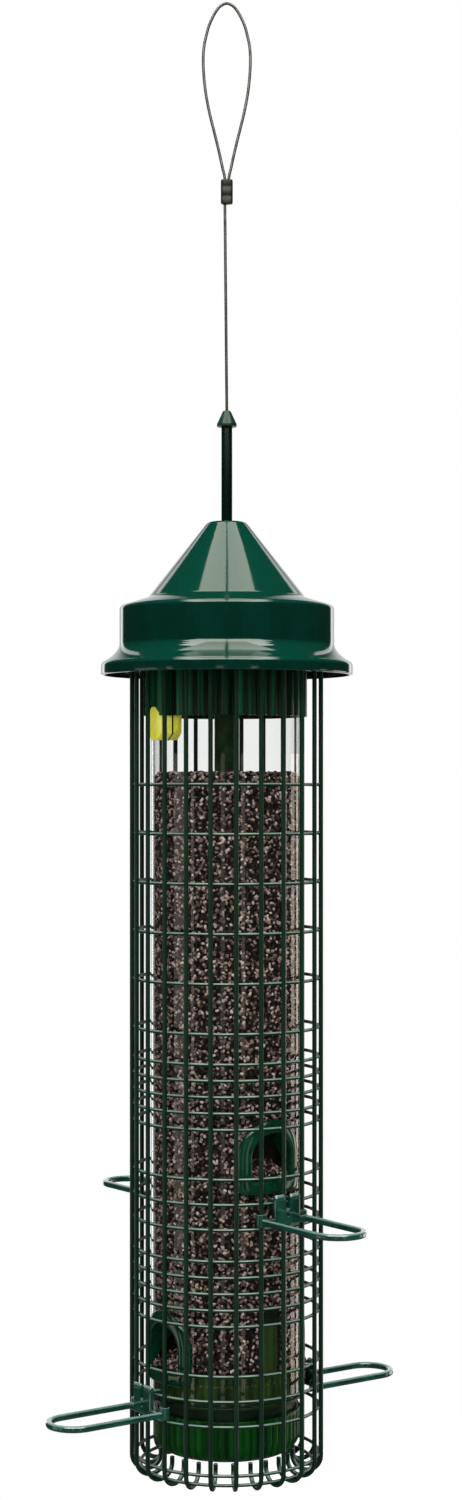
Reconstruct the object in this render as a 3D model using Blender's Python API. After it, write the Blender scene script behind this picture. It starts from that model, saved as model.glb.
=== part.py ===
"""Hanging tube feeder for birds, whose sprung wire shroud closes the ports under a squirrel's weight.

Metres, +Z up. The origin is inside the crown of the hanging loop, so every height below it is negative.
The upper ports face -Y and +Y, the lower ports -X and +X.
"""

import math

import bmesh
import bpy
from mathutils import Vector

# Fits that all pieces share
SEAT = 0.0003
SLIDE_FIT = 0.0004
OVERRUN = 0.003
WELD = 0.000001

# Facets of round pieces. Mating pieces have equal counts, so that their gap is even.
LARGE_STEPS = 32
SMALL_STEPS = 14
BARREL_STEPS = 8
HOLE_STEPS = 6

# Hanging cable, 1.5 mm steel strand
CABLE_D = 0.0015
LOOP_WIDTH = 0.0236
LOOP_HEIGHT = 0.0875
LOOP_TURN = math.radians(-35.5)
LOOP_POINTS = 32
LEG_SPACING = 0.0019
CABLE_HANG = 0.1035
HANG_POINTS = 9
# Half width and depth of the loop at points up one side, as shares of its half width and height
LOOP_SIDE_SHARES = (
    (0.21, 0.914),
    (0.36, 0.823),
    (0.53, 0.731),
    (0.70, 0.640),
    (0.84, 0.549),
    (0.94, 0.457),
    (1.00, 0.343),
    (0.97, 0.251),
    (0.87, 0.183),
    (0.72, 0.114),
    (0.46, 0.046),
    (0.24, 0.013),
)

# Crimped ferrule over both legs of the loop
FERRULE_WIDTH = 0.0060
FERRULE_DEPTH = 0.0041
FERRULE_LENGTH = 0.0120
FERRULE_STEPS = 5

# Finial, screwed on the rod's head over the cable's end stop
FINIAL_TIP_D = 0.0034
FINIAL_D = 0.0100
FINIAL_HEIGHT = 0.0080
FINIAL_LIP = 0.0014
FINIAL_CROWN = 0.0034

# Cable end stop, a crimped sleeve in the rod's head
STOP_D = 0.0031
STOP_LENGTH = 0.0062
STOP_FLOOR = 0.0009

# Hanger rod
ROD_D = 0.0055
ROD_SHOWN = 0.0475
ROD_TAIL = 0.0018

# Roof, one moulded shell of revolution
ROOF_CROWN_D = 0.0190
ROOF_CONE_HEIGHT = 0.0380
ROOF_BAND_STAND = 0.0063
ROOF_SHOULDER_RUN = 0.0143
ROOF_SHOULDER_DROP = 0.0045
ROOF_CORNER = 0.0018
ROOF_BAND_HEIGHT = 0.0182
ROOF_FLARE_RUN = 0.0086
ROOF_FLARE_HEIGHT = 0.0098
ROOF_FLARE_POINTS = 3
ROOF_RIM_STEP = 0.0007
ROOF_RIM_ROUND = 0.0012
ROOF_RIM_HEIGHT = 0.0062
ROOF_WALL = 0.0018
ROOF_BOSS_D = 0.0122
ROOF_BOSS_DEPTH = 0.0042
ROOF_PLAY = 0.0006
ROOF_PIN_HOLE_D = 0.0020
ROOF_PIN_HOLE_RISE = 0.0028
ROOF_PIN_HOLES = 3
ROOF_PIN_TURN = math.radians(45)

# Wire shroud: wires and rings share one diamond section, welded at every crossing
WIRE_HALF = 0.00125
WIRE_REACH = 0.00120
CAGE_STAND = 0.0094
CAGE_WIRES = 24
WIDE_PITCH = 0.0241
WIDE_GAP = 0.0146
WIDE_TOP_SPACE = 0.0450
DENSE_RINGS = 5
DENSE_PITCH = 0.00785
DENSE_RISE = 0.0148
PERCH_RINGS = 3
PERCH_RING_PITCH = 0.0121
PERCH_RING_DROP = 0.0092
FOOT_RING_RISE = 0.0012
FOOT_BEND_R = 0.0072
FOOT_LEG = 0.0023
FOOT_RING_TURN = math.radians(68)
FOOT_TURNS = (math.radians(34), math.radians(124), math.radians(180))
FOOT_CLEARANCE = 0.0010

# Shroud carrier, the spider that the shroud hangs from
CARRIER_PLAY = 0.0017
CARRIER_RING_WIDTH = 0.0049
CARRIER_THICK = 0.0034
CARRIER_ARMS = 3
CARRIER_ARM_WIDTH = 0.0060
CARRIER_HUB_D = 0.0140
CARRIER_HUB_RISE = 0.0125
CARRIER_GUSSET_SHARE = 0.6
CLIP_LUGS = 6
CLIP_LUG_WIDTH = 0.0050
CLIP_LUG_WALL = 0.0014
CLIP_LUG_FOOT = 0.0013
CLIP_LUG_TURN = math.radians(37.5)

# Retaining clip on the rod, above the carrier
ROD_CLIP_D = 0.0100
ROD_CLIP_THICK = 0.0008
ROD_CLIP_MOUTH = 0.0036
ROD_GROOVE_DEPTH = 0.0006

# Plunger that carries the shroud's weight to the spring
PLUNGER_D = 0.0086
PLUNGER_FLANGE_D = 0.0132
PLUNGER_FLANGE = 0.0020
PLUNGER_REACH = 0.0560
SHROUD_TRAVEL = 0.0240
TRAVEL_SPARE = 0.0005

# Closing spring, in the post
SPRING_WIRE_D = 0.0006
SPRING_D = 0.0080
SPRING_LENGTH = 0.0982
SPRING_CURLS = 10
SPRING_POINTS = 8

# Central post
POST_D = 0.0124
POST_FLANGE_D = 0.0172
POST_FLANGE = 0.0024

# Spring seat and rod nut at the post's foot
SEAT_PLUG = 0.0072
SEAT_FLANGE = 0.0020
NUT_ACROSS = 0.0080
NUT_HEIGHT = 0.0040

# Tube collar, fluted, with three spokes to a hub on the post
COLLAR_STAND = 0.0021
COLLAR_FLUTES = 40
COLLAR_FLUTE_DEPTH = 0.0008
COLLAR_ABOVE_HUB = 0.0049
COLLAR_HEIGHT = 0.0261
HUB_D = 0.0212
HUB_HEIGHT = 0.0050
SPOKES = 3
SPOKE_WIDTH = 0.0035
SPOKE_TURN = math.radians(60)
HOOD_WIDTH = 0.0170
HOOD_STAND = 0.0075

# Release button, an octagonal catch through the collar's hood and the tube
BUTTON_WIDTH = 0.0119
BUTTON_HEIGHT = 0.0164
BUTTON_CORNER = 0.0034
BUTTON_BELOW_COLLAR = 0.0037
BUTTON_STAND = 0.0057
BUTTON_TAIL = 0.0056
BUTTON_FIT = 0.0004
BUTTON_EAR_WIDTH = 0.0160
BUTTON_EAR_HEIGHT = 0.0080
BUTTON_EAR_THICK = 0.0022
BUTTON_EAR_GAP = 0.0005

# Clear seed tube
TUBE_D = 0.0760
TUBE_WALL = 0.0014
TUBE_LENGTH = 0.3519
PORT_RISE = 0.0262
PORT_PITCH = 0.0948

# Feeding ports, an arch with a flat sill
PORT_WIDTH = 0.0237
PORT_SILL = 0.0115
PORT_CROWN = 0.0115
PORT_ARC_POINTS = 10
BEZEL_WIDTH = 0.0360
BEZEL_SILL = 0.0181
BEZEL_CROWN = 0.0181
BEZEL_PROUD = 0.0024
NECK_WALL = 0.0015
HOOD_DEPTH = 0.0130
HOOD_LIFT = 0.0150
HOOD_START = 0.0014

# Seeds, up to the level that they were filled to
SEED_LEVEL = 0.0434
SEED_MOUND = 0.0020

# Base plug in the tube's foot, with a cone that sheds seeds to the lower ports
PLUG_HEIGHT = 0.0150
PLUG_CONE = 0.0085
PLUG_WALL = 0.0018
PLUG_LIP = 0.0014
GROOVE_DEPTH = 0.0037
GROOVE_HEIGHT = 0.0055
PLUG_NECK = 0.0045
PLUG_BOSS_D = 0.0080

# Base cup
CUP_INSET = 0.0015
CUP_HEIGHT = 0.0213
CUP_WALL = 0.0017
CUP_ROUND = 0.0085
CUP_ARC_POINTS = 3
DRAIN_HOLES = 6
DRAIN_HOLE_D = 0.0040
DRAIN_CIRCLE_SHARE = 0.575
DRAIN_TURN = math.radians(25)

# Base screw
SCREW_D = 0.0028
SCREW_HEAD_D = 0.0070
SCREW_HEAD = 0.0020
SCREW_LENGTH = 0.0120

# Perches, a moulded rail that clips round two wires and hooks over a ring
PERCH_STAND = 0.0561
RAIL_D = 0.0032
RAIL_LIFT = 0.0008
RAIL_ARC_POINTS = 6
RAIL_CLIP_D = 0.0056
RAIL_CLIP_HEIGHT = 0.0060
RAIL_CLIP_MOUTH = 0.0019
BRACKET_WIDTH = 0.0152
BRACKET_THICK = 0.0021
BRACKET_HOLE_D = 0.0026
BRACKET_HOLE_RISE = 0.0052
HOOK_SPACING = 0.0100
HOOK_WIDTH = 0.0032
HOOK_THICK = 0.0019
HOOK_WALL = 0.0014
HOOK_DROP = 0.0047

# Radii that follow from the tube and the rod, outwards
TUBE_R = TUBE_D / 2
BORE_R = TUBE_R - TUBE_WALL
COLLAR_R = TUBE_R + COLLAR_STAND
HOOD_R = TUBE_R + HOOD_STAND
BUTTON_OUT = TUBE_R + BUTTON_STAND
BUTTON_IN = BORE_R - BUTTON_TAIL
CAGE_R = TUBE_R + CAGE_STAND
PERCH_REACH = CAGE_R + PERCH_STAND
ROOF_BAND_R = CAGE_R + ROOF_BAND_STAND
ROOF_CONE_R = ROOF_BAND_R - ROOF_SHOULDER_RUN
ROOF_FLARE_R = ROOF_BAND_R + ROOF_FLARE_RUN
ROOF_RIM_R = ROOF_FLARE_R + ROOF_RIM_STEP
PLUG_R = BORE_R - SEAT
GROOVE_R = TUBE_R - GROOVE_DEPTH
CUP_R = TUBE_R - CUP_INSET
ROD_R = ROD_D / 2
ROD_BORE_R = ROD_R + SLIDE_FIT
CABLE_BORE_R = CABLE_D / 2 + SEAT
POST_BORE_R = PLUNGER_D / 2 + SLIDE_FIT

# Heights of the hanging gear
FERRULE_TOP = -LOOP_HEIGHT
FERRULE_FOOT = FERRULE_TOP - FERRULE_LENGTH
FINIAL_TIP = FERRULE_FOOT - CABLE_HANG
FINIAL_FOOT = FINIAL_TIP - FINIAL_HEIGHT
FINIAL_CEILING = FINIAL_TIP - FINIAL_CROWN
ROD_TOP = FINIAL_CEILING - SEAT
STOP_FOOT = ROD_TOP - STOP_LENGTH
CABLE_END = STOP_FOOT + STOP_FLOOR + SEAT

# Heights of the roof and of what carries the shroud
ROOF_TOP = FINIAL_FOOT - ROD_SHOWN
SHOULDER_SLOPE = ROOF_SHOULDER_DROP / ROOF_SHOULDER_RUN
CARRIER_R = ROOF_BAND_R - ROOF_WALL - CARRIER_PLAY
SHOULDER_FALL = SHOULDER_SLOPE * (CARRIER_R - ROOF_CONE_R)
SHOULDER_THICK = ROOF_WALL * math.hypot(1, SHOULDER_SLOPE)
CARRIER_TOP = ROOF_TOP - ROOF_CONE_HEIGHT - SHOULDER_FALL - SHOULDER_THICK - SEAT
CARRIER_FOOT = CARRIER_TOP - CARRIER_THICK
CARRIER_HUB_TOP = CARRIER_TOP + CARRIER_HUB_RISE
CLIP_FOOT = CARRIER_HUB_TOP + SEAT
PLUNGER_TOP = CARRIER_FOOT - SEAT
PLUNGER_FOOT = PLUNGER_TOP - PLUNGER_FLANGE - PLUNGER_REACH
SPRING_TOP = PLUNGER_FOOT - SEAT
SPRING_FOOT = SPRING_TOP - SPRING_LENGTH

# Heights of the collar, the post and the tube
POST_TOP = PLUNGER_TOP - PLUNGER_FLANGE - SHROUD_TRAVEL - TRAVEL_SPARE
COLLAR_TOP = CARRIER_FOOT - SHROUD_TRAVEL - TRAVEL_SPARE
COLLAR_FOOT = COLLAR_TOP - COLLAR_HEIGHT
HUB_TOP = COLLAR_TOP - COLLAR_ABOVE_HUB
HUB_FOOT = HUB_TOP - HUB_HEIGHT
SEAT_TOP = SPRING_FOOT - SEAT
POST_FOOT = SEAT_TOP - SEAT_PLUG
NUT_TOP = POST_FOOT - SEAT - SEAT_FLANGE - SEAT
ROD_FOOT = NUT_TOP - NUT_HEIGHT - ROD_TAIL
TUBE_TOP = HUB_FOOT - SEAT
TUBE_FOOT = TUBE_TOP - TUBE_LENGTH
BUTTON_Z = COLLAR_FOOT - BUTTON_BELOW_COLLAR
LOWER_PORT = TUBE_FOOT + PORT_RISE
UPPER_PORT = LOWER_PORT + PORT_PITCH

# Heights of the base
PLUG_RIM = TUBE_FOOT + PLUG_HEIGHT
LIP_TOP = TUBE_FOOT - SEAT
LIP_FOOT = LIP_TOP - PLUG_LIP
CUP_TOP = LIP_FOOT - GROOVE_HEIGHT
CUP_FOOT = CUP_TOP - CUP_HEIGHT

# Places of the shroud's wires and rings, and of what clips to them
CAGE_STEP = 2 * math.pi / CAGE_WIRES
CAGE_TOP_RING = CARRIER_FOOT - SEAT - WIRE_HALF
FIRST_DENSE_RING = UPPER_PORT + DENSE_RISE + (DENSE_RINGS - 1) * DENSE_PITCH
LOWEST_WIDE_RING = FIRST_DENSE_RING + WIDE_GAP
WIDE_RINGS = 1 + int((TUBE_TOP - WIDE_TOP_SPACE - LOWEST_WIDE_RING) / WIDE_PITCH)
FOOT_LEG_TOP = CUP_FOOT - FOOT_CLEARANCE
FOOT_BEND_Z = FOOT_LEG_TOP - FOOT_LEG
FOOT_RING = FOOT_BEND_Z + FOOT_RING_RISE
PERCH_HOOK_RING = -PERCH_RING_DROP - PERCH_RING_PITCH
PERCH_REST_RING = -PERCH_RING_DROP - (PERCH_RINGS - 1) * PERCH_RING_PITCH
RAIL_HALF_SPAN = CAGE_R * math.sin(CAGE_STEP)
RAIL_CLIP_U = CAGE_R * math.cos(CAGE_STEP)


# Finishes


def linear(colour):
    """An sRGB hex colour as linear red, green and blue."""
    parts = [int(colour[i : i + 2], 16) / 255 for i in (1, 3, 5)]
    return [p / 12.92 if p <= 0.04045 else ((p + 0.055) / 1.055) ** 2.4 for p in parts]


def finish(name, colour, roughness, metallic=0.0, alpha=1.0):
    """A Principled material."""
    made = bpy.data.materials.new(name)
    made.use_nodes = True
    shader = made.node_tree.nodes["Principled BSDF"]
    shader.inputs["Base Color"].default_value = (*linear(colour), 1.0)
    shader.inputs["Roughness"].default_value = roughness
    shader.inputs["Metallic"].default_value = metallic
    shader.inputs["Alpha"].default_value = alpha
    made.diffuse_color = (*linear(colour), alpha)
    return made


# Shapes


def arc(centre, radius, start, end, steps):
    """Points along an arc, from the start angle to the end angle."""
    angles = [start + (end - start) * i / steps for i in range(steps + 1)]
    return [(centre[0] + radius * math.cos(a), centre[1] + radius * math.sin(a)) for a in angles]


def circle(radius, steps):
    """Points round a circle, anticlockwise."""
    return arc((0, 0), radius, 0, 2 * math.pi, steps)[:-1]


def inset(chain, wall):
    """The line a wall's thickness inside a chain of (radius, height) points that runs out and down."""
    points = [Vector(p) for p in chain]
    normals = [Vector(((b - a).y, (a - b).x)).normalized() for a, b in zip(points, points[1:])]
    moved = []
    for i, point in enumerate(points):
        before = normals[max(i - 1, 0)]
        after = normals[min(i, len(normals) - 1)]
        moved.append(point + (before + after) * wall / (1 + before.dot(after)))
    return [tuple(p) for p in moved]


def arch(width, sill, crown, steps):
    """A window outline of (across, height) points: a flat sill, straight sides and a round head."""
    half = width / 2
    return [(-half, -sill), (half, -sill), *arc((0, crown - half), half, 0, math.pi, steps)]


def octagon(width, height, corner):
    """A rectangle of (across, height) points with its corners cut off."""
    a = width / 2
    b = height / 2
    return [
        (a, b - corner),
        (a - corner, b),
        (corner - a, b),
        (-a, b - corner),
        (-a, corner - b),
        (corner - a, -b),
        (a - corner, -b),
        (a, corner - b),
    ]


def rectangle(left, right, low, high):
    """A rectangle's four corners."""
    return [(left, low), (right, low), (right, high), (left, high)]


def placed(name, mesh, material, z=0.0, turn=0.0, parent=None):
    """An object for the mesh, at a height on the axis and turned about it."""
    obj = bpy.data.objects.new(name, mesh)
    bpy.context.collection.objects.link(obj)
    obj.location.z = z - parent.location.z if parent else z
    obj.rotation_euler.z = turn
    obj.parent = parent
    if material:
        mesh.materials.clear()
        mesh.materials.append(material)
        mesh.shade_smooth()
        mesh.set_sharp_from_angle(angle=math.radians(35))
    return obj


def to_mesh(bm, name):
    """A mesh with its faces pointing out."""
    bmesh.ops.recalc_face_normals(bm, faces=bm.faces)
    if bm.calc_volume(signed=True) < 0:
        bmesh.ops.reverse_faces(bm, faces=bm.faces)
    mesh = bpy.data.meshes.new(name)
    bm.to_mesh(mesh)
    bm.free()
    return mesh


def turned(name, outline, steps):
    """A mesh made by turning (radius, height) points round the axis. It closes on the axis or on itself."""
    bm = bmesh.new()
    corners = [bm.verts.new((r, 0, h)) for r, h in outline]
    pairs = list(zip(corners, corners[1:]))
    if outline[0][0] > 0:
        pairs.append((corners[-1], corners[0]))
    edges = [bm.edges.new(pair) for pair in pairs]
    bmesh.ops.spin(
        bm,
        geom=corners + edges,
        cent=(0, 0, 0),
        axis=(0, 0, 1),
        angle=2 * math.pi,
        steps=steps,
        use_merge=True,
    )
    bmesh.ops.remove_doubles(bm, verts=bm.verts, dist=WELD)
    return to_mesh(bm, name)


def prism(name, outline, start, end, along):
    """A mesh that extrudes an outline along an axis. Its points are (y, z), (x, z) or (x, y)."""
    places = {
        "X": lambda a, b: (start, a, b),
        "Y": lambda a, b: (a, start, b),
        "Z": lambda a, b: (a, b, start),
    }
    step = {"X": (end - start, 0, 0), "Y": (0, end - start, 0), "Z": (0, 0, end - start)}
    bm = bmesh.new()
    face = bm.faces.new([bm.verts.new(places[along](a, b)) for a, b in outline])
    grown = bmesh.ops.extrude_face_region(bm, geom=[face])["geom"]
    moved = [v for v in grown if isinstance(v, bmesh.types.BMVert)]
    bmesh.ops.translate(bm, verts=moved, vec=step[along])
    return to_mesh(bm, name)


def cutter(outline, low, high):
    """An upright prism that runs past both heights."""
    return prism("cutter", outline, low - OVERRUN, high + OVERRUN, "Z")


def tube_along(name, points, diameter, resolution):
    """A curve object that carries a round section along the points."""
    curve = bpy.data.curves.new(name, "CURVE")
    curve.dimensions = "3D"
    curve.bevel_depth = diameter / 2
    curve.bevel_resolution = resolution
    curve.use_fill_caps = True
    spline = curve.splines.new("POLY")
    spline.points.add(len(points) - 1)
    for place, point in zip(spline.points, points):
        place.co = (*point, 1)
    obj = bpy.data.objects.new(name, curve)
    bpy.context.collection.objects.link(obj)
    return obj


def evaluated_mesh(obj):
    """The object's mesh with its modifiers applied and its doubles merged."""
    graph = bpy.context.evaluated_depsgraph_get()
    mesh = bpy.data.meshes.new_from_object(obj.evaluated_get(graph))
    bm = bmesh.new()
    bm.from_mesh(mesh)
    bmesh.ops.remove_doubles(bm, verts=bm.verts, dist=WELD)
    bm.to_mesh(mesh)
    bm.free()
    return mesh


def worked(mesh, *steps):
    """The mesh after Boolean steps, each an operation and its (mesh, turn) or mesh."""
    body = placed("body", mesh, None)
    tools = []
    for operation, tool in steps:
        shape, turn = tool if isinstance(tool, tuple) else (tool, 0.0)
        tools.append(placed("tool", shape, None, turn=turn))
        modifier = body.modifiers.new(operation, "BOOLEAN")
        modifier.operation = operation
        modifier.solver = "EXACT"
        modifier.object = tools[-1]
    bpy.context.view_layer.update()
    result = evaluated_mesh(body)
    for obj in [body, *tools]:
        bpy.data.objects.remove(obj, do_unlink=True)
    return result


def round_about(shape, count, first=0.0):
    """The shape with each of its turns, evenly round the axis."""
    return [(shape, first + 2 * math.pi * i / count) for i in range(count)]


def smooth_through(points, steps):
    """Points along a smooth curve through the given points, with the steps spread over its spans."""
    ends = [points[0] * 2 - points[1], *points, points[-1] * 2 - points[-2]]
    spans = len(points) - 1
    found = []
    for i in range(steps + 1):
        at = min(i * spans / steps, spans - WELD)
        k = int(at)
        t = at - k
        a, b, c, d = ends[k : k + 4]
        found.append(
            b
            + (c - a) * (t / 2)
            + (a * 2 - b * 5 + c * 4 - d) * (t * t / 2)
            + (b * 3 - a - c * 3 + d) * (t * t * t / 2)
        )
    return found


# Hanging gear


def cable_route():
    """The cable's centreline: up from the rod's head, through the ferrule, round the loop and back."""
    across = Vector((math.cos(LOOP_TURN), math.sin(LOOP_TURN), 0))
    leg = LEG_SPACING / 2
    crown = CABLE_D / 2
    drop = Vector((0, 0, 1))
    near = -leg * across
    ferrule_mouth = drop * (FERRULE_FOOT - SEAT) + near
    route = [drop * (CABLE_END + (FINIAL_TIP - CABLE_END) * i / 2) for i in range(3)]
    lean_start = route[-1] + drop * SEAT
    hang = [lean_start.lerp(ferrule_mouth, i / HANG_POINTS) for i in range(1, HANG_POINTS + 1)]
    sides = [(w * LOOP_WIDTH / 2, crown - h * (LOOP_HEIGHT + crown)) for w, h in LOOP_SIDE_SHARES]
    left = [drop * h - across * w for w, h in sides]
    right = [drop * h + across * w for w, h in reversed(sides)]
    loop = smooth_through(
        [
            drop * FERRULE_TOP + near,
            *left,
            drop * crown,
            *right,
            drop * FERRULE_TOP - near,
        ],
        LOOP_POINTS,
    )
    return route + hang + loop + [drop * (FERRULE_FOOT + SEAT) - near]


def make_hanging_gear(steel, dark_metal, green):
    """The cable, its two crimps, the finial, the rod and what is fixed along it."""
    cable = tube_along("hanging_cable", cable_route(), CABLE_D, 2)
    cable.data.materials.append(steel)

    half_slot = LEG_SPACING / 2
    slot_r = CABLE_D / 2 + SLIDE_FIT
    right_end = arc((half_slot, 0), slot_r, -math.pi / 2, math.pi / 2, FERRULE_STEPS)
    left_end = arc((-half_slot, 0), slot_r, math.pi / 2, 3 * math.pi / 2, FERRULE_STEPS)
    half_flat = (FERRULE_WIDTH - FERRULE_DEPTH) / 2
    shell_right = arc((half_flat, 0), FERRULE_DEPTH / 2, -math.pi / 2, math.pi / 2, FERRULE_STEPS)
    shell_left = arc((-half_flat, 0), FERRULE_DEPTH / 2, math.pi / 2, 3 * math.pi / 2, FERRULE_STEPS)
    ferrule = worked(
        prism("ferrule", shell_right + shell_left, FERRULE_FOOT, FERRULE_TOP, "Z"),
        ("DIFFERENCE", cutter(right_end + left_end, FERRULE_FOOT, FERRULE_TOP)),
    )
    placed("cable_ferrule", ferrule, dark_metal, turn=LOOP_TURN)

    stop = [
        (0, STOP_FOOT),
        (STOP_D / 2, STOP_FOOT),
        (STOP_D / 2, ROD_TOP),
        (CABLE_BORE_R, ROD_TOP),
        (CABLE_BORE_R, STOP_FOOT + STOP_FLOOR),
        (0, STOP_FOOT + STOP_FLOOR),
    ]
    placed("cable_stop", turned("stop", stop, SMALL_STEPS), dark_metal)

    finial = [
        (CABLE_BORE_R, FINIAL_TIP),
        (FINIAL_TIP_D / 2, FINIAL_TIP),
        (FINIAL_D / 2, FINIAL_FOOT + FINIAL_LIP),
        (FINIAL_D / 2, FINIAL_FOOT),
        (ROD_R + SEAT, FINIAL_FOOT),
        (ROD_R + SEAT, FINIAL_CEILING),
        (CABLE_BORE_R, FINIAL_CEILING),
    ]
    placed("finial_cap", turned("finial", finial, SMALL_STEPS), green)

    socket_r = STOP_D / 2 + SEAT
    groove_r = ROD_R - ROD_GROOVE_DEPTH
    rod = [
        (0, ROD_FOOT),
        (ROD_R, ROD_FOOT),
        (ROD_R, CLIP_FOOT - SEAT),
        (groove_r, CLIP_FOOT - SEAT),
        (groove_r, CLIP_FOOT + ROD_CLIP_THICK + SEAT),
        (ROD_R, CLIP_FOOT + ROD_CLIP_THICK + SEAT),
        (ROD_R, ROD_TOP),
        (socket_r, ROD_TOP),
        (socket_r, STOP_FOOT - SEAT),
        (0, STOP_FOOT - SEAT),
    ]
    placed("hanger_rod", turned("rod", rod, SMALL_STEPS), green)

    clip_top = CLIP_FOOT + ROD_CLIP_THICK
    grip = circle(groove_r + SEAT, SMALL_STEPS)
    mouth = rectangle(0, ROD_CLIP_D, -ROD_CLIP_MOUTH / 2, ROD_CLIP_MOUTH / 2)
    clip = worked(
        prism("clip", circle(ROD_CLIP_D / 2, SMALL_STEPS), CLIP_FOOT, clip_top, "Z"),
        ("DIFFERENCE", cutter(grip, CLIP_FOOT, clip_top)),
        ("DIFFERENCE", cutter(mouth, CLIP_FOOT, clip_top)),
    )
    placed("rod_clip", clip, dark_metal)

    nut_foot = NUT_TOP - NUT_HEIGHT
    nut = worked(
        prism("nut", circle(NUT_ACROSS / math.sqrt(3), 6), nut_foot, NUT_TOP, "Z"),
        ("DIFFERENCE", cutter(circle(ROD_R + SEAT, SMALL_STEPS), nut_foot, NUT_TOP)),
    )
    placed("rod_nut", nut, dark_metal)


# Roof


def roof_chain():
    """The roof's outside as (radius, height) points below its top, with a sharp band corner."""
    band_top = -ROOF_CONE_HEIGHT - ROOF_SHOULDER_DROP
    band_foot = band_top - ROOF_BAND_HEIGHT
    flare_foot = band_foot - ROOF_FLARE_HEIGHT
    shares = [i / ROOF_FLARE_POINTS for i in range(ROOF_FLARE_POINTS + 1)]
    flare = [(ROOF_BAND_R + ROOF_FLARE_RUN * t**2, band_foot - ROOF_FLARE_HEIGHT * t) for t in shares]
    return [
        (ROOF_CROWN_D / 2, 0),
        (ROOF_CONE_R, -ROOF_CONE_HEIGHT),
        (ROOF_BAND_R, band_top),
        *flare,
        (ROOF_RIM_R, flare_foot - ROOF_RIM_ROUND),
        (ROOF_RIM_R, flare_foot - ROOF_RIM_HEIGHT),
    ]


def make_roof(green, parent):
    """A shell with a boss round the rod, and the pin holes of its band."""
    chain = roof_chain()
    inner = inset(chain, ROOF_WALL)
    corner = chain[2]
    slope_turn = math.pi / 2 - math.atan(SHOULDER_SLOPE)
    reach = ROOF_CORNER * math.tan(slope_turn / 2)
    centre = (corner[0] - ROOF_CORNER, corner[1] - reach)
    rounded = arc(centre, ROOF_CORNER, slope_turn, 0, 2)
    bore_r = ROD_R + ROOF_PLAY
    boss_r = ROOF_BOSS_D / 2
    outline = [
        (bore_r, 0),
        *chain[:2],
        *rounded,
        *chain[3:],
        *reversed(inner[1:]),
        (ROOF_CROWN_D / 2 - ROOF_WALL, inner[0][1]),
        (boss_r, inner[0][1]),
        (boss_r, -ROOF_BOSS_DEPTH),
        (bore_r, -ROOF_BOSS_DEPTH),
    ]
    hole_z = corner[1] - ROOF_BAND_HEIGHT + ROOF_PIN_HOLE_RISE
    ring = [(y, z + hole_z) for y, z in circle(ROOF_PIN_HOLE_D / 2, HOLE_STEPS)]
    start = ROOF_BAND_R - ROOF_WALL - OVERRUN
    hole = prism("pin", ring, start, ROOF_RIM_R + OVERRUN, "X")
    holes = [("DIFFERENCE", h) for h in round_about(hole, ROOF_PIN_HOLES, ROOF_PIN_TURN)]
    shell = worked(turned("roof", outline, LARGE_STEPS), *holes)
    placed("roof", shell, green, z=ROOF_TOP, parent=parent)


# Wire shroud


def shroud_stations():
    """Each wire's stations from the top, as (radius, height, lean, has a ring). Lean 0 runs straight down."""
    heights = [CAGE_TOP_RING]
    heights += [LOWEST_WIDE_RING + i * WIDE_PITCH for i in reversed(range(WIDE_RINGS))]
    for port in (UPPER_PORT, LOWER_PORT):
        heights += [port + DENSE_RISE + i * DENSE_PITCH for i in reversed(range(DENSE_RINGS))]
        heights += [port - PERCH_RING_DROP - i * PERCH_RING_PITCH for i in range(PERCH_RINGS)]
    heights.append(FOOT_RING)
    stations = [(CAGE_R, z, 0.0, True) for z in heights]
    for lean in sorted((*FOOT_TURNS, FOOT_RING_TURN)):
        radius = CAGE_R - FOOT_BEND_R * (1 - math.cos(lean))
        stations.append((radius, FOOT_BEND_Z - FOOT_BEND_R * math.sin(lean), lean, lean == FOOT_RING_TURN))
    stations.append((CAGE_R - 2 * FOOT_BEND_R, FOOT_LEG_TOP, math.pi, False))
    return stations


def crossing(bm, station, wire):
    """The section's corners at a station: outer, inner, then left and right where the wire comes and goes."""
    radius, z, lean, ringed = station
    angle = wire * CAGE_STEP
    out = Vector((math.cos(angle), math.sin(angle), 0))
    side = Vector((-math.sin(angle), math.cos(angle), 0))
    down = Vector((0, 0, -1))
    normal = out * math.cos(lean) + down * math.sin(lean)
    travel = down * math.cos(lean) - out * math.sin(lean)
    place = out * radius + Vector((0, 0, z))
    corners = {
        "outer": bm.verts.new(place + normal * WIRE_REACH),
        "inner": bm.verts.new(place - normal * WIRE_REACH),
    }
    spread = WIRE_HALF if ringed else 0
    for name, sign in (("left", -1), ("right", 1)):
        corners[name, "in"] = bm.verts.new(place + side * (sign * WIRE_HALF) - travel * spread)
        corners[name, "out"] = corners[name, "in"]
        if ringed:
            corners[name, "out"] = bm.verts.new(place + side * (sign * WIRE_HALF) + travel * spread)
    return corners


def make_shroud(green, parent):
    """One closed lattice: at each crossing the wire's and the ring's four ridges meet in shared corners."""
    bm = bmesh.new()
    stations = shroud_stations()
    wires = [[crossing(bm, s, wire) for s in stations] for wire in range(CAGE_WIRES)]
    for wire, corners in enumerate(wires):
        beside = wires[(wire + 1) % CAGE_WIRES]
        for a, b in zip(corners, corners[1:]):
            for ridge in ("outer", "inner"):
                for hand in ("left", "right"):
                    bm.faces.new((a[ridge], b[ridge], b[hand, "in"], a[hand, "out"]))
        for station, a, b in zip(stations, corners, beside):
            if station[3]:
                for ridge in ("outer", "inner"):
                    for end in ("in", "out"):
                        bm.faces.new((a[ridge], b[ridge], b["left", end], a["right", end]))
        for a, end in ((corners[0], "in"), (corners[-1], "out")):
            for ridge in ("outer", "inner"):
                bm.faces.new((a[ridge], a["left", end], a["right", end]))
    placed("wire_shroud", to_mesh(bm, "shroud"), green, parent=parent)


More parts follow.
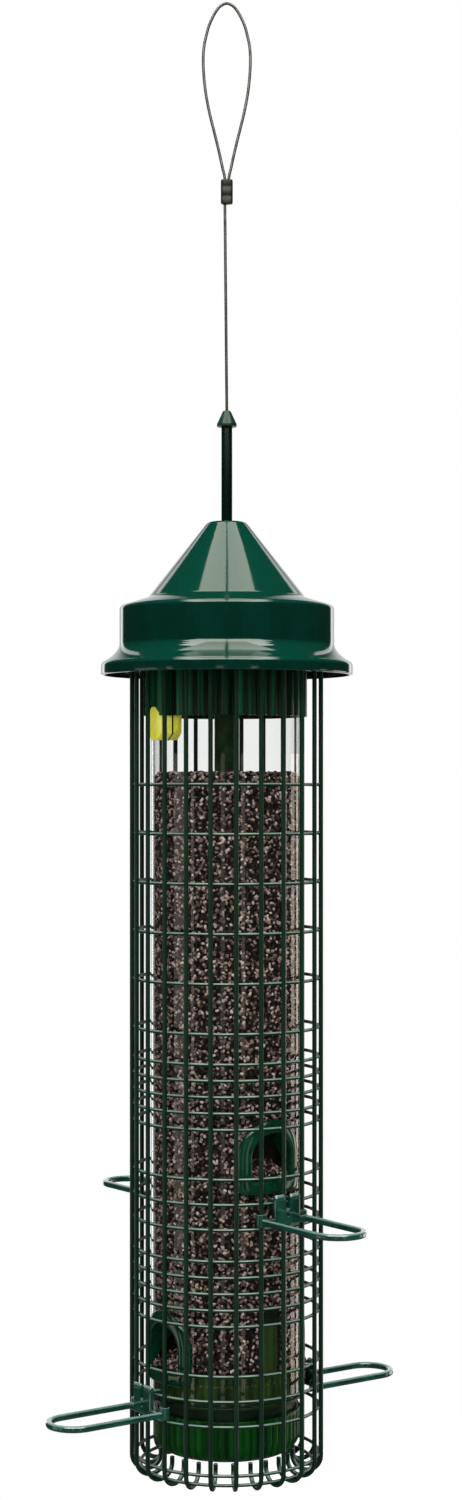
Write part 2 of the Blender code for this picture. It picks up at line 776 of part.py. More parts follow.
def make_carrier(green, parent):
    """The spider: a ring under the roof, three gusseted arms, a hub, and lugs that hook the shroud."""
    ring_in = CARRIER_R - CARRIER_RING_WIDTH
    ring = turned("ring", rectangle(ring_in, CARRIER_R, CARRIER_FOOT, CARRIER_TOP), LARGE_STEPS)
    hub_r = CARRIER_HUB_D / 2
    hub = turned("hub", rectangle(ROD_BORE_R, hub_r, CARRIER_FOOT, CARRIER_HUB_TOP), SMALL_STEPS)
    gusset_end = hub_r + (ring_in - hub_r) * CARRIER_GUSSET_SHARE
    arm_start = (ROD_BORE_R + hub_r) / 2
    ring_middle = (ring_in + CARRIER_R) / 2
    side = [
        (arm_start, CARRIER_FOOT),
        (ring_middle, CARRIER_FOOT),
        (ring_middle, CARRIER_TOP),
        (gusset_end, CARRIER_TOP),
        (hub_r, CARRIER_HUB_TOP - CARRIER_THICK / 2),
        (arm_start, CARRIER_HUB_TOP - CARRIER_THICK / 2),
    ]
    arm = prism("arm", side, -CARRIER_ARM_WIDTH / 2, CARRIER_ARM_WIDTH / 2, "Y")
    lug_out = (CAGE_R - WIRE_REACH) * math.cos(CAGE_STEP / 2) - SEAT
    lug_in = lug_out - CLIP_LUG_WALL
    foot_top = CAGE_TOP_RING - WIRE_HALF - SEAT
    foot_low = foot_top - CLIP_LUG_FOOT
    hook = [
        (lug_in, CARRIER_TOP - SEAT),
        (lug_in, foot_low),
        (CAGE_R + WIRE_REACH, foot_low),
        (CAGE_R + WIRE_REACH, foot_top),
        (lug_out, foot_top),
        (lug_out, CARRIER_FOOT),
        (ring_middle, CARRIER_FOOT),
        (ring_middle, CARRIER_TOP - SEAT),
    ]
    lug = prism("lug", hook, -CLIP_LUG_WIDTH / 2, CLIP_LUG_WIDTH / 2, "Y")
    carrier = worked(
        ring,
        *[("UNION", t) for t in round_about(arm, CARRIER_ARMS)],
        ("UNION", hub),
        *[("UNION", t) for t in round_about(lug, CLIP_LUGS, CLIP_LUG_TURN)],
    )
    placed("shroud_carrier", carrier, green, parent=parent)


def make_plunger(green, parent):
    """A flanged sleeve on the rod, which reaches down into the post and stands on the spring."""
    outline = [
        (ROD_BORE_R, PLUNGER_FOOT),
        (PLUNGER_D / 2, PLUNGER_FOOT),
        (PLUNGER_D / 2, PLUNGER_TOP - PLUNGER_FLANGE),
        (PLUNGER_FLANGE_D / 2, PLUNGER_TOP - PLUNGER_FLANGE),
        (PLUNGER_FLANGE_D / 2, PLUNGER_TOP),
        (ROD_BORE_R, PLUNGER_TOP),
    ]
    placed("spring_plunger", turned("plunger", outline, SMALL_STEPS), green, parent=parent)


# Perches


def perch_mesh():
    """A perch facing +X. Its heights are those of a port's middle."""
    rest = PERCH_REST_RING + WIRE_HALF + SEAT
    rail_low = rest + RAIL_LIFT
    rail_z = rail_low + RAIL_D / 2
    end = PERCH_REACH - RAIL_D / 2 - RAIL_HALF_SPAN
    bow = arc((end, 0), RAIL_HALF_SPAN, math.pi / 2, -math.pi / 2, RAIL_ARC_POINTS)
    path = [(RAIL_CLIP_U, RAIL_HALF_SPAN), *bow, (RAIL_CLIP_U, -RAIL_HALF_SPAN)]
    rail = tube_along("rail", [(x, y, rail_z) for x, y in path], RAIL_D, 1)
    body = evaluated_mesh(rail)
    bpy.data.objects.remove(rail, do_unlink=True)

    plate_in = CAGE_R + WIRE_REACH + SEAT
    plate_out = plate_in + BRACKET_THICK
    hook_low = PERCH_HOOK_RING + WIRE_HALF + SEAT
    hook_high = hook_low + HOOK_THICK
    bar = prism(
        "bar",
        rectangle(plate_in, plate_out, -RAIL_HALF_SPAN, RAIL_HALF_SPAN),
        rail_low,
        rail_low + RAIL_D,
        "Z",
    )
    plate = prism(
        "plate",
        rectangle(plate_in, plate_out, -BRACKET_WIDTH / 2, BRACKET_WIDTH / 2),
        rail_z,
        hook_high,
        "Z",
    )
    hook_edge = (HOOK_SPACING + HOOK_WIDTH) / 2
    hook_out = CAGE_R - WIRE_REACH - hook_edge * math.tan(CAGE_STEP / 2) - SEAT
    hook_in = hook_out - HOOK_WALL
    side = [
        (plate_out - BRACKET_THICK / 3, hook_low),
        (plate_out - BRACKET_THICK / 3, hook_high),
        (hook_in, hook_high),
        (hook_in, hook_low - HOOK_DROP),
        (hook_out, hook_low - HOOK_DROP),
        (hook_out, hook_low),
    ]
    steps = [("UNION", bar), ("UNION", plate)]
    for hand in (-1, 1):
        middle = hand * HOOK_SPACING / 2
        steps.append(("UNION", prism("hook", side, middle - HOOK_WIDTH / 2, middle + HOOK_WIDTH / 2, "Y")))
        centre = (RAIL_CLIP_U, hand * RAIL_HALF_SPAN)
        barrel = arc(centre, RAIL_CLIP_D / 2, 0, 2 * math.pi, BARREL_STEPS)[:-1]
        steps.append(("UNION", prism("barrel", barrel, rest, rest + RAIL_CLIP_HEIGHT, "Z")))
    for hand in (-1, 1):
        centre = (RAIL_CLIP_U, hand * RAIL_HALF_SPAN)
        bore = arc(centre, WIRE_HALF + SLIDE_FIT, 0, 2 * math.pi, BARREL_STEPS)[:-1]
        steps.append(("DIFFERENCE", cutter(bore, rest, rest + RAIL_CLIP_HEIGHT)))
        mouth = rectangle(
            RAIL_CLIP_U - RAIL_CLIP_D,
            RAIL_CLIP_U,
            centre[1] - RAIL_CLIP_MOUTH / 2,
            centre[1] + RAIL_CLIP_MOUTH / 2,
        )
        steps.append(("DIFFERENCE", cutter(mouth, rest, rest + RAIL_CLIP_HEIGHT)))
    hole = [(y, z + rest + BRACKET_HOLE_RISE) for y, z in circle(BRACKET_HOLE_D / 2, HOLE_STEPS)]
    steps.append(("DIFFERENCE", prism("hole", hole, plate_in - OVERRUN, plate_out + OVERRUN, "X")))
    return worked(body, *steps)


# Collar, post and button


def make_post(green, dark_metal, steel):
    """The spring's housing: a tube whose flange carries the collar's hub, with its seat and spring."""
    flange_top = HUB_FOOT - SEAT
    post_r = POST_D / 2
    post = [
        (POST_BORE_R, POST_FOOT),
        (post_r, POST_FOOT),
        (post_r, flange_top - POST_FLANGE),
        (POST_FLANGE_D / 2, flange_top - POST_FLANGE),
        (POST_FLANGE_D / 2, flange_top),
        (post_r, flange_top),
        (post_r, POST_TOP),
        (POST_BORE_R, POST_TOP),
    ]
    placed("central_post", turned("post", post, SMALL_STEPS), green)

    bore_r = ROD_R + SEAT
    flange = POST_FOOT - SEAT
    seat = [
        (bore_r, flange - SEAT_FLANGE),
        (post_r, flange - SEAT_FLANGE),
        (post_r, flange),
        (POST_BORE_R - SEAT, flange),
        (POST_BORE_R - SEAT, SEAT_TOP),
        (bore_r, SEAT_TOP),
    ]
    placed("spring_seat", turned("seat", seat, SMALL_STEPS), dark_metal)

    radius = (SPRING_D - SPRING_WIRE_D) / 2
    low = SPRING_FOOT + SPRING_WIRE_D / 2
    rise = SPRING_LENGTH - SPRING_WIRE_D
    count = SPRING_CURLS * SPRING_POINTS
    helix = []
    for i in range(count + 1):
        angle = 2 * math.pi * i / SPRING_POINTS
        helix.append((radius * math.cos(angle), radius * math.sin(angle), low + rise * i / count))
    spring = tube_along("closing_spring", helix, SPRING_WIRE_D, 1)
    spring.data.materials.append(steel)
    gap = rise / SPRING_CURLS - SPRING_WIRE_D
    print(f"least gap between the spring's curls: {gap * 1000:.2f} mm")


def make_collar(green):
    """A fluted ring over the tube's head, spokes to a hub on the post, and the hood round the button."""
    points = 2 * COLLAR_FLUTES
    outer = []
    for i in range(points):
        radius = COLLAR_R - (COLLAR_FLUTE_DEPTH if i % 2 else 0)
        angle = 2 * math.pi * i / points
        outer.append((radius * math.cos(angle), radius * math.sin(angle)))
    bore_r = TUBE_R + SEAT
    spoke = prism(
        "spoke",
        rectangle((POST_D + HUB_D) / 4, (bore_r + COLLAR_R) / 2, HUB_FOOT, HUB_TOP),
        -SPOKE_WIDTH / 2,
        SPOKE_WIDTH / 2,
        "Y",
    )
    hub = turned("hub", rectangle(POST_D / 2 + SEAT, HUB_D / 2, HUB_FOOT, HUB_TOP), SMALL_STEPS)
    hood_side = rectangle(-HOOD_WIDTH / 2, HOOD_WIDTH / 2, COLLAR_FOOT, COLLAR_TOP)
    face = cutter(circle(HOOD_R, 4 * LARGE_STEPS), COLLAR_FOOT, COLLAR_TOP)
    bore = cutter(circle(bore_r, LARGE_STEPS), COLLAR_FOOT, COLLAR_TOP)
    hood = worked(
        prism("hood", hood_side, -HOOD_R - OVERRUN, OVERRUN - bore_r, "X"),
        ("INTERSECT", face),
        ("DIFFERENCE", bore),
    )
    window = octagon(BUTTON_WIDTH + 2 * BUTTON_FIT, BUTTON_HEIGHT + 2 * BUTTON_FIT, BUTTON_CORNER)
    notch = [(y, z + BUTTON_Z) for y, z in window]
    collar = worked(
        prism("collar", outer, COLLAR_FOOT, COLLAR_TOP, "Z"),
        ("DIFFERENCE", bore.copy()),
        ("UNION", hood),
        *[("UNION", t) for t in round_about(spoke, SPOKES, SPOKE_TURN)],
        ("UNION", hub),
        ("DIFFERENCE", prism("notch", notch, -HOOD_R - OVERRUN, -BUTTON_IN, "X")),
    )
    placed("tube_collar", collar, green)


def make_button(yellow, parent):
    """The octagonal catch with its two retaining ears behind the tube's wall."""
    section = octagon(BUTTON_WIDTH, BUTTON_HEIGHT, BUTTON_CORNER)
    ear = rectangle(
        -BUTTON_EAR_WIDTH / 2, BUTTON_EAR_WIDTH / 2, -BUTTON_EAR_HEIGHT / 2, BUTTON_EAR_HEIGHT / 2
    )
    ear_out = math.sqrt(BORE_R**2 - (BUTTON_EAR_WIDTH / 2) ** 2) - BUTTON_EAR_GAP
    button = worked(
        prism("button", section, -BUTTON_OUT, -BUTTON_IN, "X"),
        ("UNION", prism("ear", ear, -ear_out, BUTTON_EAR_THICK - ear_out, "X")),
    )
    placed("release_button", button, yellow, z=BUTTON_Z, parent=parent)


# Tube, ports, seeds and base


def port_prism(grow, start, end):
    """A prism along +X with a port's opening grown by a margin all round."""
    outline = arch(PORT_WIDTH + 2 * grow, PORT_SILL + grow, PORT_CROWN + grow, PORT_ARC_POINTS)
    return prism("port", outline, start, end, "X")


def moved(mesh, z):
    """A copy of the mesh, raised by z."""
    copy = mesh.copy()
    for vertex in copy.vertices:
        vertex.co.z += z
    return copy


def at_ports(shape):
    """The shape at each port, as a tool with its turn."""
    upper = moved(shape, UPPER_PORT)
    lower = moved(shape, LOWER_PORT)
    quarter = math.pi / 2
    return [(upper, -quarter), (upper.copy(), quarter), (lower, 0.0), (lower.copy(), 2 * quarter)]


def port_frame_mesh():
    """A port's frame facing +X: a proud curved bezel, a neck through the wall and a hood inside."""
    tall = 2 * (BEZEL_CROWN + BEZEL_SILL)
    bezel_r = TUBE_R + BEZEL_PROUD
    outline = arch(BEZEL_WIDTH, BEZEL_SILL, BEZEL_CROWN, PORT_ARC_POINTS)
    shell = turned("shell", rectangle(TUBE_R + SEAT, bezel_r, -tall, tall), LARGE_STEPS)
    bezel = worked(
        prism("bezel", outline, BORE_R - HOOD_DEPTH, bezel_r, "X"), ("INTERSECT", shell)
    )
    hood_end = BORE_R - HOOD_DEPTH
    slope = [
        (hood_end - OVERRUN, -tall),
        (TUBE_R, -tall),
        (TUBE_R, HOOD_START - PORT_SILL),
        (BORE_R, HOOD_START - PORT_SILL),
        (hood_end - OVERRUN, HOOD_START - PORT_SILL + HOOD_LIFT),
    ]
    bore = prism("bore", circle(BORE_R + SEAT / 4, LARGE_STEPS), -2 * tall, 2 * tall, "Z")
    below_hood = worked(prism("slope", slope, -BEZEL_WIDTH, BEZEL_WIDTH, "Y"), ("INTERSECT", bore))
    neck = worked(port_prism(NECK_WALL, hood_end, TUBE_R + BEZEL_PROUD / 2), ("DIFFERENCE", below_hood))
    return worked(
        neck,
        ("UNION", bezel),
        ("DIFFERENCE", port_prism(0.0, hood_end - OVERRUN, bezel_r + OVERRUN)),
    )


def make_tube(clear):
    """The clear tube, with four port holes and the button's hole."""
    wall = turned("tube", rectangle(BORE_R, TUBE_R, TUBE_FOOT, TUBE_TOP), LARGE_STEPS)
    hole = port_prism(NECK_WALL + SEAT, BORE_R / 2, TUBE_R + OVERRUN)
    window = octagon(BUTTON_WIDTH + 2 * BUTTON_FIT, BUTTON_HEIGHT + 2 * BUTTON_FIT, BUTTON_CORNER)
    button = [(y, z + BUTTON_Z) for y, z in window]
    tube = worked(
        wall,
        *[("DIFFERENCE", t) for t in at_ports(hole)],
        ("DIFFERENCE", prism("button", button, -TUBE_R - OVERRUN, -BORE_R / 2, "X")),
    )
    placed("seed_tube", tube, clear)


def make_seeds(husk):
    """The column of seeds round the post, hollow behind each port's hood."""
    top = TUBE_TOP - SEED_LEVEL
    seed_r = BORE_R - SEAT
    post_r = POST_D / 2 + SEAT
    foot = ROD_FOOT - SEAT
    outline = [
        (0, PLUG_RIM + PLUG_CONE + SEAT),
        (seed_r, PLUG_RIM + SEAT),
        (seed_r, top),
        (post_r, top + SEED_MOUND),
        (post_r, foot),
        (0, foot),
    ]
    pocket = port_prism(NECK_WALL + SEAT, BORE_R - HOOD_DEPTH - SEAT, TUBE_R)
    seeds = worked(
        turned("seeds", outline, LARGE_STEPS), *[("DIFFERENCE", t) for t in at_ports(pocket)]
    )
    placed("seed_fill", seeds, husk)


def make_base(green, dark_metal):
    """The plug in the tube's foot, the cup below it and the screw that holds them together."""
    boss_r = PLUG_BOSS_D / 2
    neck_foot = CUP_TOP - PLUG_NECK
    floor_top = CUP_FOOT + CUP_WALL
    boss_foot = floor_top + SEAT
    pilot_r = SCREW_D / 2 + SEAT
    screw_tip = CUP_FOOT + SCREW_LENGTH
    cone_under = PLUG_RIM + PLUG_CONE - PLUG_WALL
    plug = [
        (0, PLUG_RIM + PLUG_CONE),
        (PLUG_R, PLUG_RIM),
        (PLUG_R, LIP_TOP),
        (TUBE_R, LIP_TOP),
        (TUBE_R, LIP_FOOT),
        (GROOVE_R, LIP_FOOT),
        (GROOVE_R, neck_foot),
        (GROOVE_R - PLUG_WALL, neck_foot),
        (GROOVE_R - PLUG_WALL, PLUG_RIM - PLUG_WALL),
        (boss_r, cone_under),
        (boss_r, boss_foot),
        (pilot_r, boss_foot),
        (pilot_r, screw_tip + SEAT),
        (0, screw_tip + SEAT),
    ]
    placed("base_plug", turned("plug", plug, LARGE_STEPS), green)

    centre = (CUP_R - CUP_ROUND, CUP_FOOT + CUP_ROUND)
    bend = arc(centre, CUP_ROUND, 0, -math.pi / 2, CUP_ARC_POINTS)
    bend_in = arc(centre, CUP_ROUND - CUP_WALL, -math.pi / 2, 0, CUP_ARC_POINTS)
    cup = [
        (CUP_R, CUP_TOP),
        *bend,
        (pilot_r, CUP_FOOT),
        (pilot_r, floor_top),
        *bend_in,
        (CUP_R - CUP_WALL, CUP_TOP),
    ]
    drain_r = CUP_R * DRAIN_CIRCLE_SHARE
    drain = [(x + drain_r, y) for x, y in circle(DRAIN_HOLE_D / 2, HOLE_STEPS)]
    hole = cutter(drain, CUP_FOOT, floor_top)
    holes = [("DIFFERENCE", t) for t in round_about(hole, DRAIN_HOLES, DRAIN_TURN)]
    cup_mesh = worked(turned("cup", cup, LARGE_STEPS), *holes)
    placed("base_cup", cup_mesh, green)

    screw = [
        (0, CUP_FOOT - SEAT - SCREW_HEAD),
        (SCREW_HEAD_D / 2 - SCREW_HEAD / 2, CUP_FOOT - SEAT - SCREW_HEAD),
        (SCREW_HEAD_D / 2, CUP_FOOT - SEAT - SCREW_HEAD / 2),
        (SCREW_HEAD_D / 2, CUP_FOOT - SEAT),
        (SCREW_D / 2, CUP_FOOT - SEAT),
        (SCREW_D / 2, screw_tip),
        (0, screw_tip),
    ]
    placed("base_screw", turned("screw", screw, SMALL_STEPS), dark_metal)


def joint_empty(name, z, parent=None):
    """An empty on a joint's axis, which carries the pieces that the joint moves."""
    empty = bpy.data.objects.new(name, None)
    bpy.context.collection.objects.link(empty)
    empty.location.z = z - parent.location.z if parent else z
    empty.parent = parent
    return empty


def make_feeder():
    """The whole feeder, from the cable down."""
    for obj in list(bpy.data.objects):
        bpy.data.objects.remove(obj, do_unlink=True)
    green = finish("moulded green", "#06301f", 0.35)
    roof_green = finish("gloss green", "#013528", 0.18)
    coated_wire = finish("coated wire", "#0e2a18", 0.4)
    perch_green = finish("perch green", "#17493f", 0.38)
    clear = finish("clear polycarbonate", "#eef0ee", 0.06, alpha=0.3)
    husk = finish("mixed seed", "#41362f", 0.85)
    yellow = finish("moulded yellow", "#efec4a", 0.4)
    steel = finish("steel strand", "#6f6f6f", 0.35, metallic=1.0)
    dark_metal = finish("blackened metal", "#2d2d2d", 0.45, metallic=0.8)

    shroud_slide = joint_empty("shroud_slide", CARRIER_TOP)
    roof_slide = joint_empty("roof_slide", ROOF_TOP)
    button_slide = joint_empty("button_slide", BUTTON_Z)

    make_hanging_gear(steel, dark_metal, green)
    make_roof(roof_green, roof_slide)
    make_carrier(green, shroud_slide)
    make_plunger(green, shroud_slide)
    make_shroud(coated_wire, shroud_slide)
    make_post(green, dark_metal, steel)
    make_collar(green)
    make_button(yellow, button_slide)
    make_tube(clear)
    make_seeds(husk)
    make_base(green, dark_metal)

    quarter = math.pi / 2
    ports = (
        ("upper_front", UPPER_PORT, -quarter),
        ("upper_rear", UPPER_PORT, quarter),
        ("lower_left", LOWER_PORT, 2 * quarter),
        ("lower_right", LOWER_PORT, 0.0),
    )
    frame = port_frame_mesh()
    perch = perch_mesh()
    for name, height, turn in ports:
        placed(f"port_frame_{name}", frame, green, z=height, turn=turn)
        placed(f"perch_{name}", perch, perch_green, z=height, turn=turn, parent=shroud_slide)


make_feeder()
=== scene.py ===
import math
from functools import partial

import bmesh
import bpy
import numpy as np
from mathutils import Matrix


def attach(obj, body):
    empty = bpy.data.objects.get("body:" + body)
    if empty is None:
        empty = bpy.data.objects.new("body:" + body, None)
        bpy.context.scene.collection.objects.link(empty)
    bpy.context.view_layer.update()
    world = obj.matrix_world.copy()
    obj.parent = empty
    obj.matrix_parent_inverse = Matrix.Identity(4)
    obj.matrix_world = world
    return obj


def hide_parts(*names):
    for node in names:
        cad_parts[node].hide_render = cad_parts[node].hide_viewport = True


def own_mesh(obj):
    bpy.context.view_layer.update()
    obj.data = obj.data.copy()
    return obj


# A hanging tube feeder for small birds. A sprung wire shroud hangs round a clear seed tube and closes its four
# ports under a squirrel's weight. Metres, +Z up, the origin in the crown of the hanging loop. The sections
# follow the object as it is put together, from the cable's loop down to the screw under the base.

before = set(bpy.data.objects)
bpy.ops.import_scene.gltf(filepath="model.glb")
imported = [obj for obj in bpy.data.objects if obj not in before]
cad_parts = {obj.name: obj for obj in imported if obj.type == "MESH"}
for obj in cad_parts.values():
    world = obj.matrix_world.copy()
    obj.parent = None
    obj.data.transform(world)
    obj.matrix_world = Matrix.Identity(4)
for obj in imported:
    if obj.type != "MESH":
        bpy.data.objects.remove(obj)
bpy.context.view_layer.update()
scene = bpy.context.scene
scene.view_settings.view_transform = "Standard"


# Camera: level with the middle of the feeder and 1.2 m away, to the left of the upper front port. Its lens is
# shifted a little, so that the feeder fills the picture's height and its uprights stay parallel.

CAMERA_TURN = math.radians(-35.5)
CAMERA_DISTANCE = 1.2135
CAMERA_HEIGHT = -0.390
UP = np.array([0.0, 0.0, 1.0])
TOWARDS_CAMERA = np.array([math.sin(CAMERA_TURN), -math.cos(CAMERA_TURN), 0.0])
CAMERA_RIGHT = np.array([math.cos(CAMERA_TURN), math.sin(CAMERA_TURN), 0.0])

lens = bpy.data.cameras.new("camera")
lens.lens = 58.25
lens.shift_x = 0.0028
lens.shift_y = 0.0233
camera = bpy.data.objects.new("camera", lens)
camera.location = (*(TOWARDS_CAMERA[:2] * CAMERA_DISTANCE), CAMERA_HEIGHT)
camera.rotation_euler = (math.pi / 2, 0, CAMERA_TURN)
scene.collection.objects.link(camera)
scene.camera = camera


# Studio: a white surround, two softboxes overhead with a narrow gap between them, tall strips at the sides and
# behind, and a plain fill from the front. Cards overhead and low strips round the tube show only in gloss. The
# floor is a pale sheet well below the hanging feeder.


def linear(colour):
    """An sRGB hex colour as linear red, green, blue and 1: c / 12.92, or ((c + 0.055) / 1.055) ^ 2.4."""
    parts = np.array([int(colour[i : i + 2], 16) / 255 for i in (1, 3, 5)])
    scaled = np.where(parts <= 0.04045, parts / 12.92, ((parts + 0.055) / 1.055) ** 2.4)
    return (*scaled.tolist(), 1.0)


def connect(node, inputs):
    """Sets inputs of a node. Each takes a value, a hex colour, a socket, or a node, which gives its first
    output in use."""
    for place, value in inputs.items():
        if isinstance(value, bpy.types.Node):
            value = next(output for output in value.outputs if output.enabled)
        elif str(value).startswith("#"):
            value = linear(value)
        if isinstance(value, bpy.types.NodeSocket):
            node.id_data.links.new(value, node.inputs[place])
        else:
            node.inputs[place].default_value = value


def add_node(tree, kind, inputs=None, **settings):
    """A shader node with its settings and its inputs."""
    made = tree.nodes.new("ShaderNode" + kind)
    for name, value in settings.items():
        setattr(made, name, value)
    connect(made, inputs or {})
    return made


SURROUND_ON_MATT = 0.62
SURROUND_IN_FRONT = 0.02
SURROUND_BEHIND = 0.95

world = bpy.data.worlds.new("white surround")
world.use_nodes = True
scene.world = world
sky = world.node_tree
sky.nodes.clear()
add = partial(add_node, sky)
rays = add("LightPath").outputs
# Light that was mirrored once and then leaves through the tube's wall still counts as gloss.
mirrored = add("Math", {0: rays["Glossy Depth"], 1: 1.0}, operation="MINIMUM")
straight = add("Math", {0: rays["Is Transmission Ray"], 1: mirrored}, operation="SUBTRACT")
seen = add("Math", {0: rays["Is Camera Ray"], 1: straight}, operation="MAXIMUM")
way = add("TexCoord").outputs["Generated"]
behind = add("VectorMath", {0: way, 1: tuple(-TOWARDS_CAMERA)}, operation="DOT_PRODUCT")
span = {"From Min": 0.80, "From Max": 0.93, "To Min": SURROUND_IN_FRONT, "To Max": SURROUND_BEHIND}
in_gloss = add("MapRange", {"Value": behind, **span}, interpolation_type="SMOOTHSTEP")
glossy = add("Math", {0: rays["Is Glossy Ray"], 1: mirrored}, operation="MAXIMUM")
level = add("Mix", {0: glossy, 2: SURROUND_ON_MATT, 3: in_gloss}, data_type="FLOAT")
level = add("Mix", {0: seen, 2: level, 3: 1.0}, data_type="FLOAT")
glow = add("Background", {"Color": "#ffffff", "Strength": level})
add("OutputWorld", {"Surface": glow})


def unit(vectors):
    """Vectors of length 1 in the same directions."""
    return vectors / np.linalg.norm(vectors, axis=-1, keepdims=True)


def add_softbox(name, place, aim, width, height, brightness, tint="#ffffff", lights=True, reflected=True):
    """A rectangular lamp whose face has the given brightness, where 1 is white: power = brightness * pi * area.
    Matt surfaces see it where it lights, and glossy ones where it is reflected."""
    lamp = bpy.data.lights.new(name, "AREA")
    lamp.shape = "RECTANGLE"
    lamp.size = width
    lamp.size_y = height
    lamp.energy = brightness * math.pi * width * height
    lamp.color = linear(tint)[:3]
    box = bpy.data.objects.new(name, lamp)
    ahead = unit(np.array(aim, float) - place)
    side = unit(np.cross(ahead, TOWARDS_CAMERA if abs(ahead[2]) > 0.9 else UP))
    turn = np.eye(4)
    turn[:3] = np.stack([side, np.cross(side, ahead), -ahead, place], -1)
    box.matrix_world = Matrix(turn.tolist())
    box.visible_camera = False
    box.visible_diffuse = lights
    box.visible_glossy = reflected
    box.visible_transmission = False
    scene.collection.objects.link(box)


def add_overhead(name, aside, ahead, width, length, brightness, tint="#ffffff", lights=True):
    """A softbox level with the others overhead that faces down, aside and ahead of the axis for the camera."""
    middle = CAMERA_RIGHT * aside + TOWARDS_CAMERA * ahead
    add_softbox(name, middle + UP * OVERHEAD_HEIGHT, middle - UP, width, length, brightness, tint, lights)


def beside(turn, distance, height):
    """A place round the axis: the turn is in degrees, from the camera to its right."""
    turn = math.radians(turn)
    return (CAMERA_RIGHT * math.sin(turn) + TOWARDS_CAMERA * math.cos(turn)) * distance + UP * height


OVERHEAD_HEIGHT = 0.32
OVERHEAD_GAP = 0.022
OVERHEAD_WIDTH = 0.245
RIM_TURN = 150
RIM_HEIGHT = -0.15
CARD_WIDTH = 0.85
STRIP_DISTANCE = 1.15
STRIP_HEIGHT = 0.70
STRIP_MIDDLE = -0.360 - STRIP_HEIGHT / 2

for hand in (-1, 1):
    aside = hand * (OVERHEAD_WIDTH + OVERHEAD_GAP) / 2
    add_overhead("overhead softbox", aside, 0.22, OVERHEAD_WIDTH, 0.80, brightness=5.0, tint="#f6f8e9")
    place = TOWARDS_CAMERA * 0.45 + CAMERA_RIGHT * (hand * 1.15) - UP * 0.35
    add_softbox("side strip", place, (0, 0, -0.42), 0.20, 1.1, brightness=1.5, reflected=False)
    place = beside(hand * RIM_TURN, 1.15, RIM_HEIGHT)
    add_softbox("rim strip", place, UP * RIM_HEIGHT, 0.17, 1.5, brightness=1.6)
place = TOWARDS_CAMERA * 1.9 + UP * 0.1
add_softbox("front fill", place, (0, 0, -0.4), 2.2, 1.8, brightness=1.6, reflected=False)

# The roof card hangs ahead of the softboxes. Three smaller cards join it to them, so that the roof's flare
# mirrors one even patch: aside, ahead, width, length and brightness of each.
JOINING_CARDS = (
    (0.134, 0.37, 0.245, 0.50, 4.0),
    (0.413, 0.49, 0.314, 0.26, 9.0),
    (0.338, 0.24, 0.164, 0.24, 9.0),
)
for hand in (-1, 1):
    aside = hand * (CARD_WIDTH + OVERHEAD_GAP) / 2
    add_overhead("roof card", aside, 1.02, CARD_WIDTH, 0.80, 9.0, "#fcfbea", lights=False)
    for aside, ahead, width, length, brightness in JOINING_CARDS:
        add_overhead("joining card", hand * aside, ahead, width, length, brightness, lights=False)

# The low strips give the clear tube its long highlights: turn, width and brightness of each.
TUBE_STRIPS = (
    (-77, 0.50, 1.4), (-52, 0.10, 2.0), (-6, 0.12, 1.1), (24, 0.12, 1.6), (97, 0.16, 2.4), (124, 0.50, 2.8),
)
for turn, width, brightness in TUBE_STRIPS:
    place = beside(turn, STRIP_DISTANCE, STRIP_MIDDLE)
    aim = UP * STRIP_MIDDLE
    add_softbox("tube strip", place, aim, width, STRIP_HEIGHT, brightness, "#fff3e4", lights=False)

# The floor's own colour is pale, and rays from the camera see it white where no shadow lies on it.
FLOOR_HEIGHT = -1.25
FLOOR_HALF = 1.5
floor_signs = ((-1, -1), (1, -1), (1, 1), (-1, 1))
floor_corners = [(x * FLOOR_HALF, y * FLOOR_HALF, FLOOR_HEIGHT) for x, y in floor_signs]
floor_mesh = bpy.data.meshes.new("floor")
floor_mesh.from_pydata(floor_corners, [], [(0, 1, 2, 3)])
floor = bpy.data.objects.new("floor", floor_mesh)
scene.collection.objects.link(floor)
paper = bpy.data.materials.new("pale matt paper sheet")
paper.use_nodes = True
sheet = paper.node_tree
sheet.nodes.clear()
add = partial(add_node, sheet)
matt = add("BsdfDiffuse", {"Color": "#b4b4b2"})
from_camera = add("LightPath").outputs["Is Camera Ray"]
shine = add("Emission", {"Color": "#eeeeee", "Strength": from_camera})
add("OutputMaterial", {"Surface": add("AddShader", {0: matt, 1: shine})})
floor_mesh.materials.append(paper)


# Hanging cable: a 1.5 mm steel strand of seven bundles. It rises out of the rod's head, makes the loop that the
# feeder hangs by and comes back into the ferrule beside itself.


def shell(points, along=False):
    """A grid of points, (rows, columns, 3) or many such copies, as flat corners and the quads between them.
    The last column joins the first. Along joins the last row to the first row too."""
    rows, columns = points.shape[-3:-1]
    i = np.arange(rows if along else rows - 1)[:, None]
    j = np.arange(columns)[None, :]
    here, below, right = i * columns, (i + 1) % rows * columns, (j + 1) % columns
    faces = np.stack([here + j, here + right, below + right, below + j], -1).reshape(-1, 4)
    corners = points.reshape(-1, rows * columns, 3)
    starts = np.arange(len(corners))[:, None, None] * (rows * columns)
    return corners.reshape(-1, 3), (faces[None] + starts).reshape(-1, 4)


SHARP_ANGLE = 38


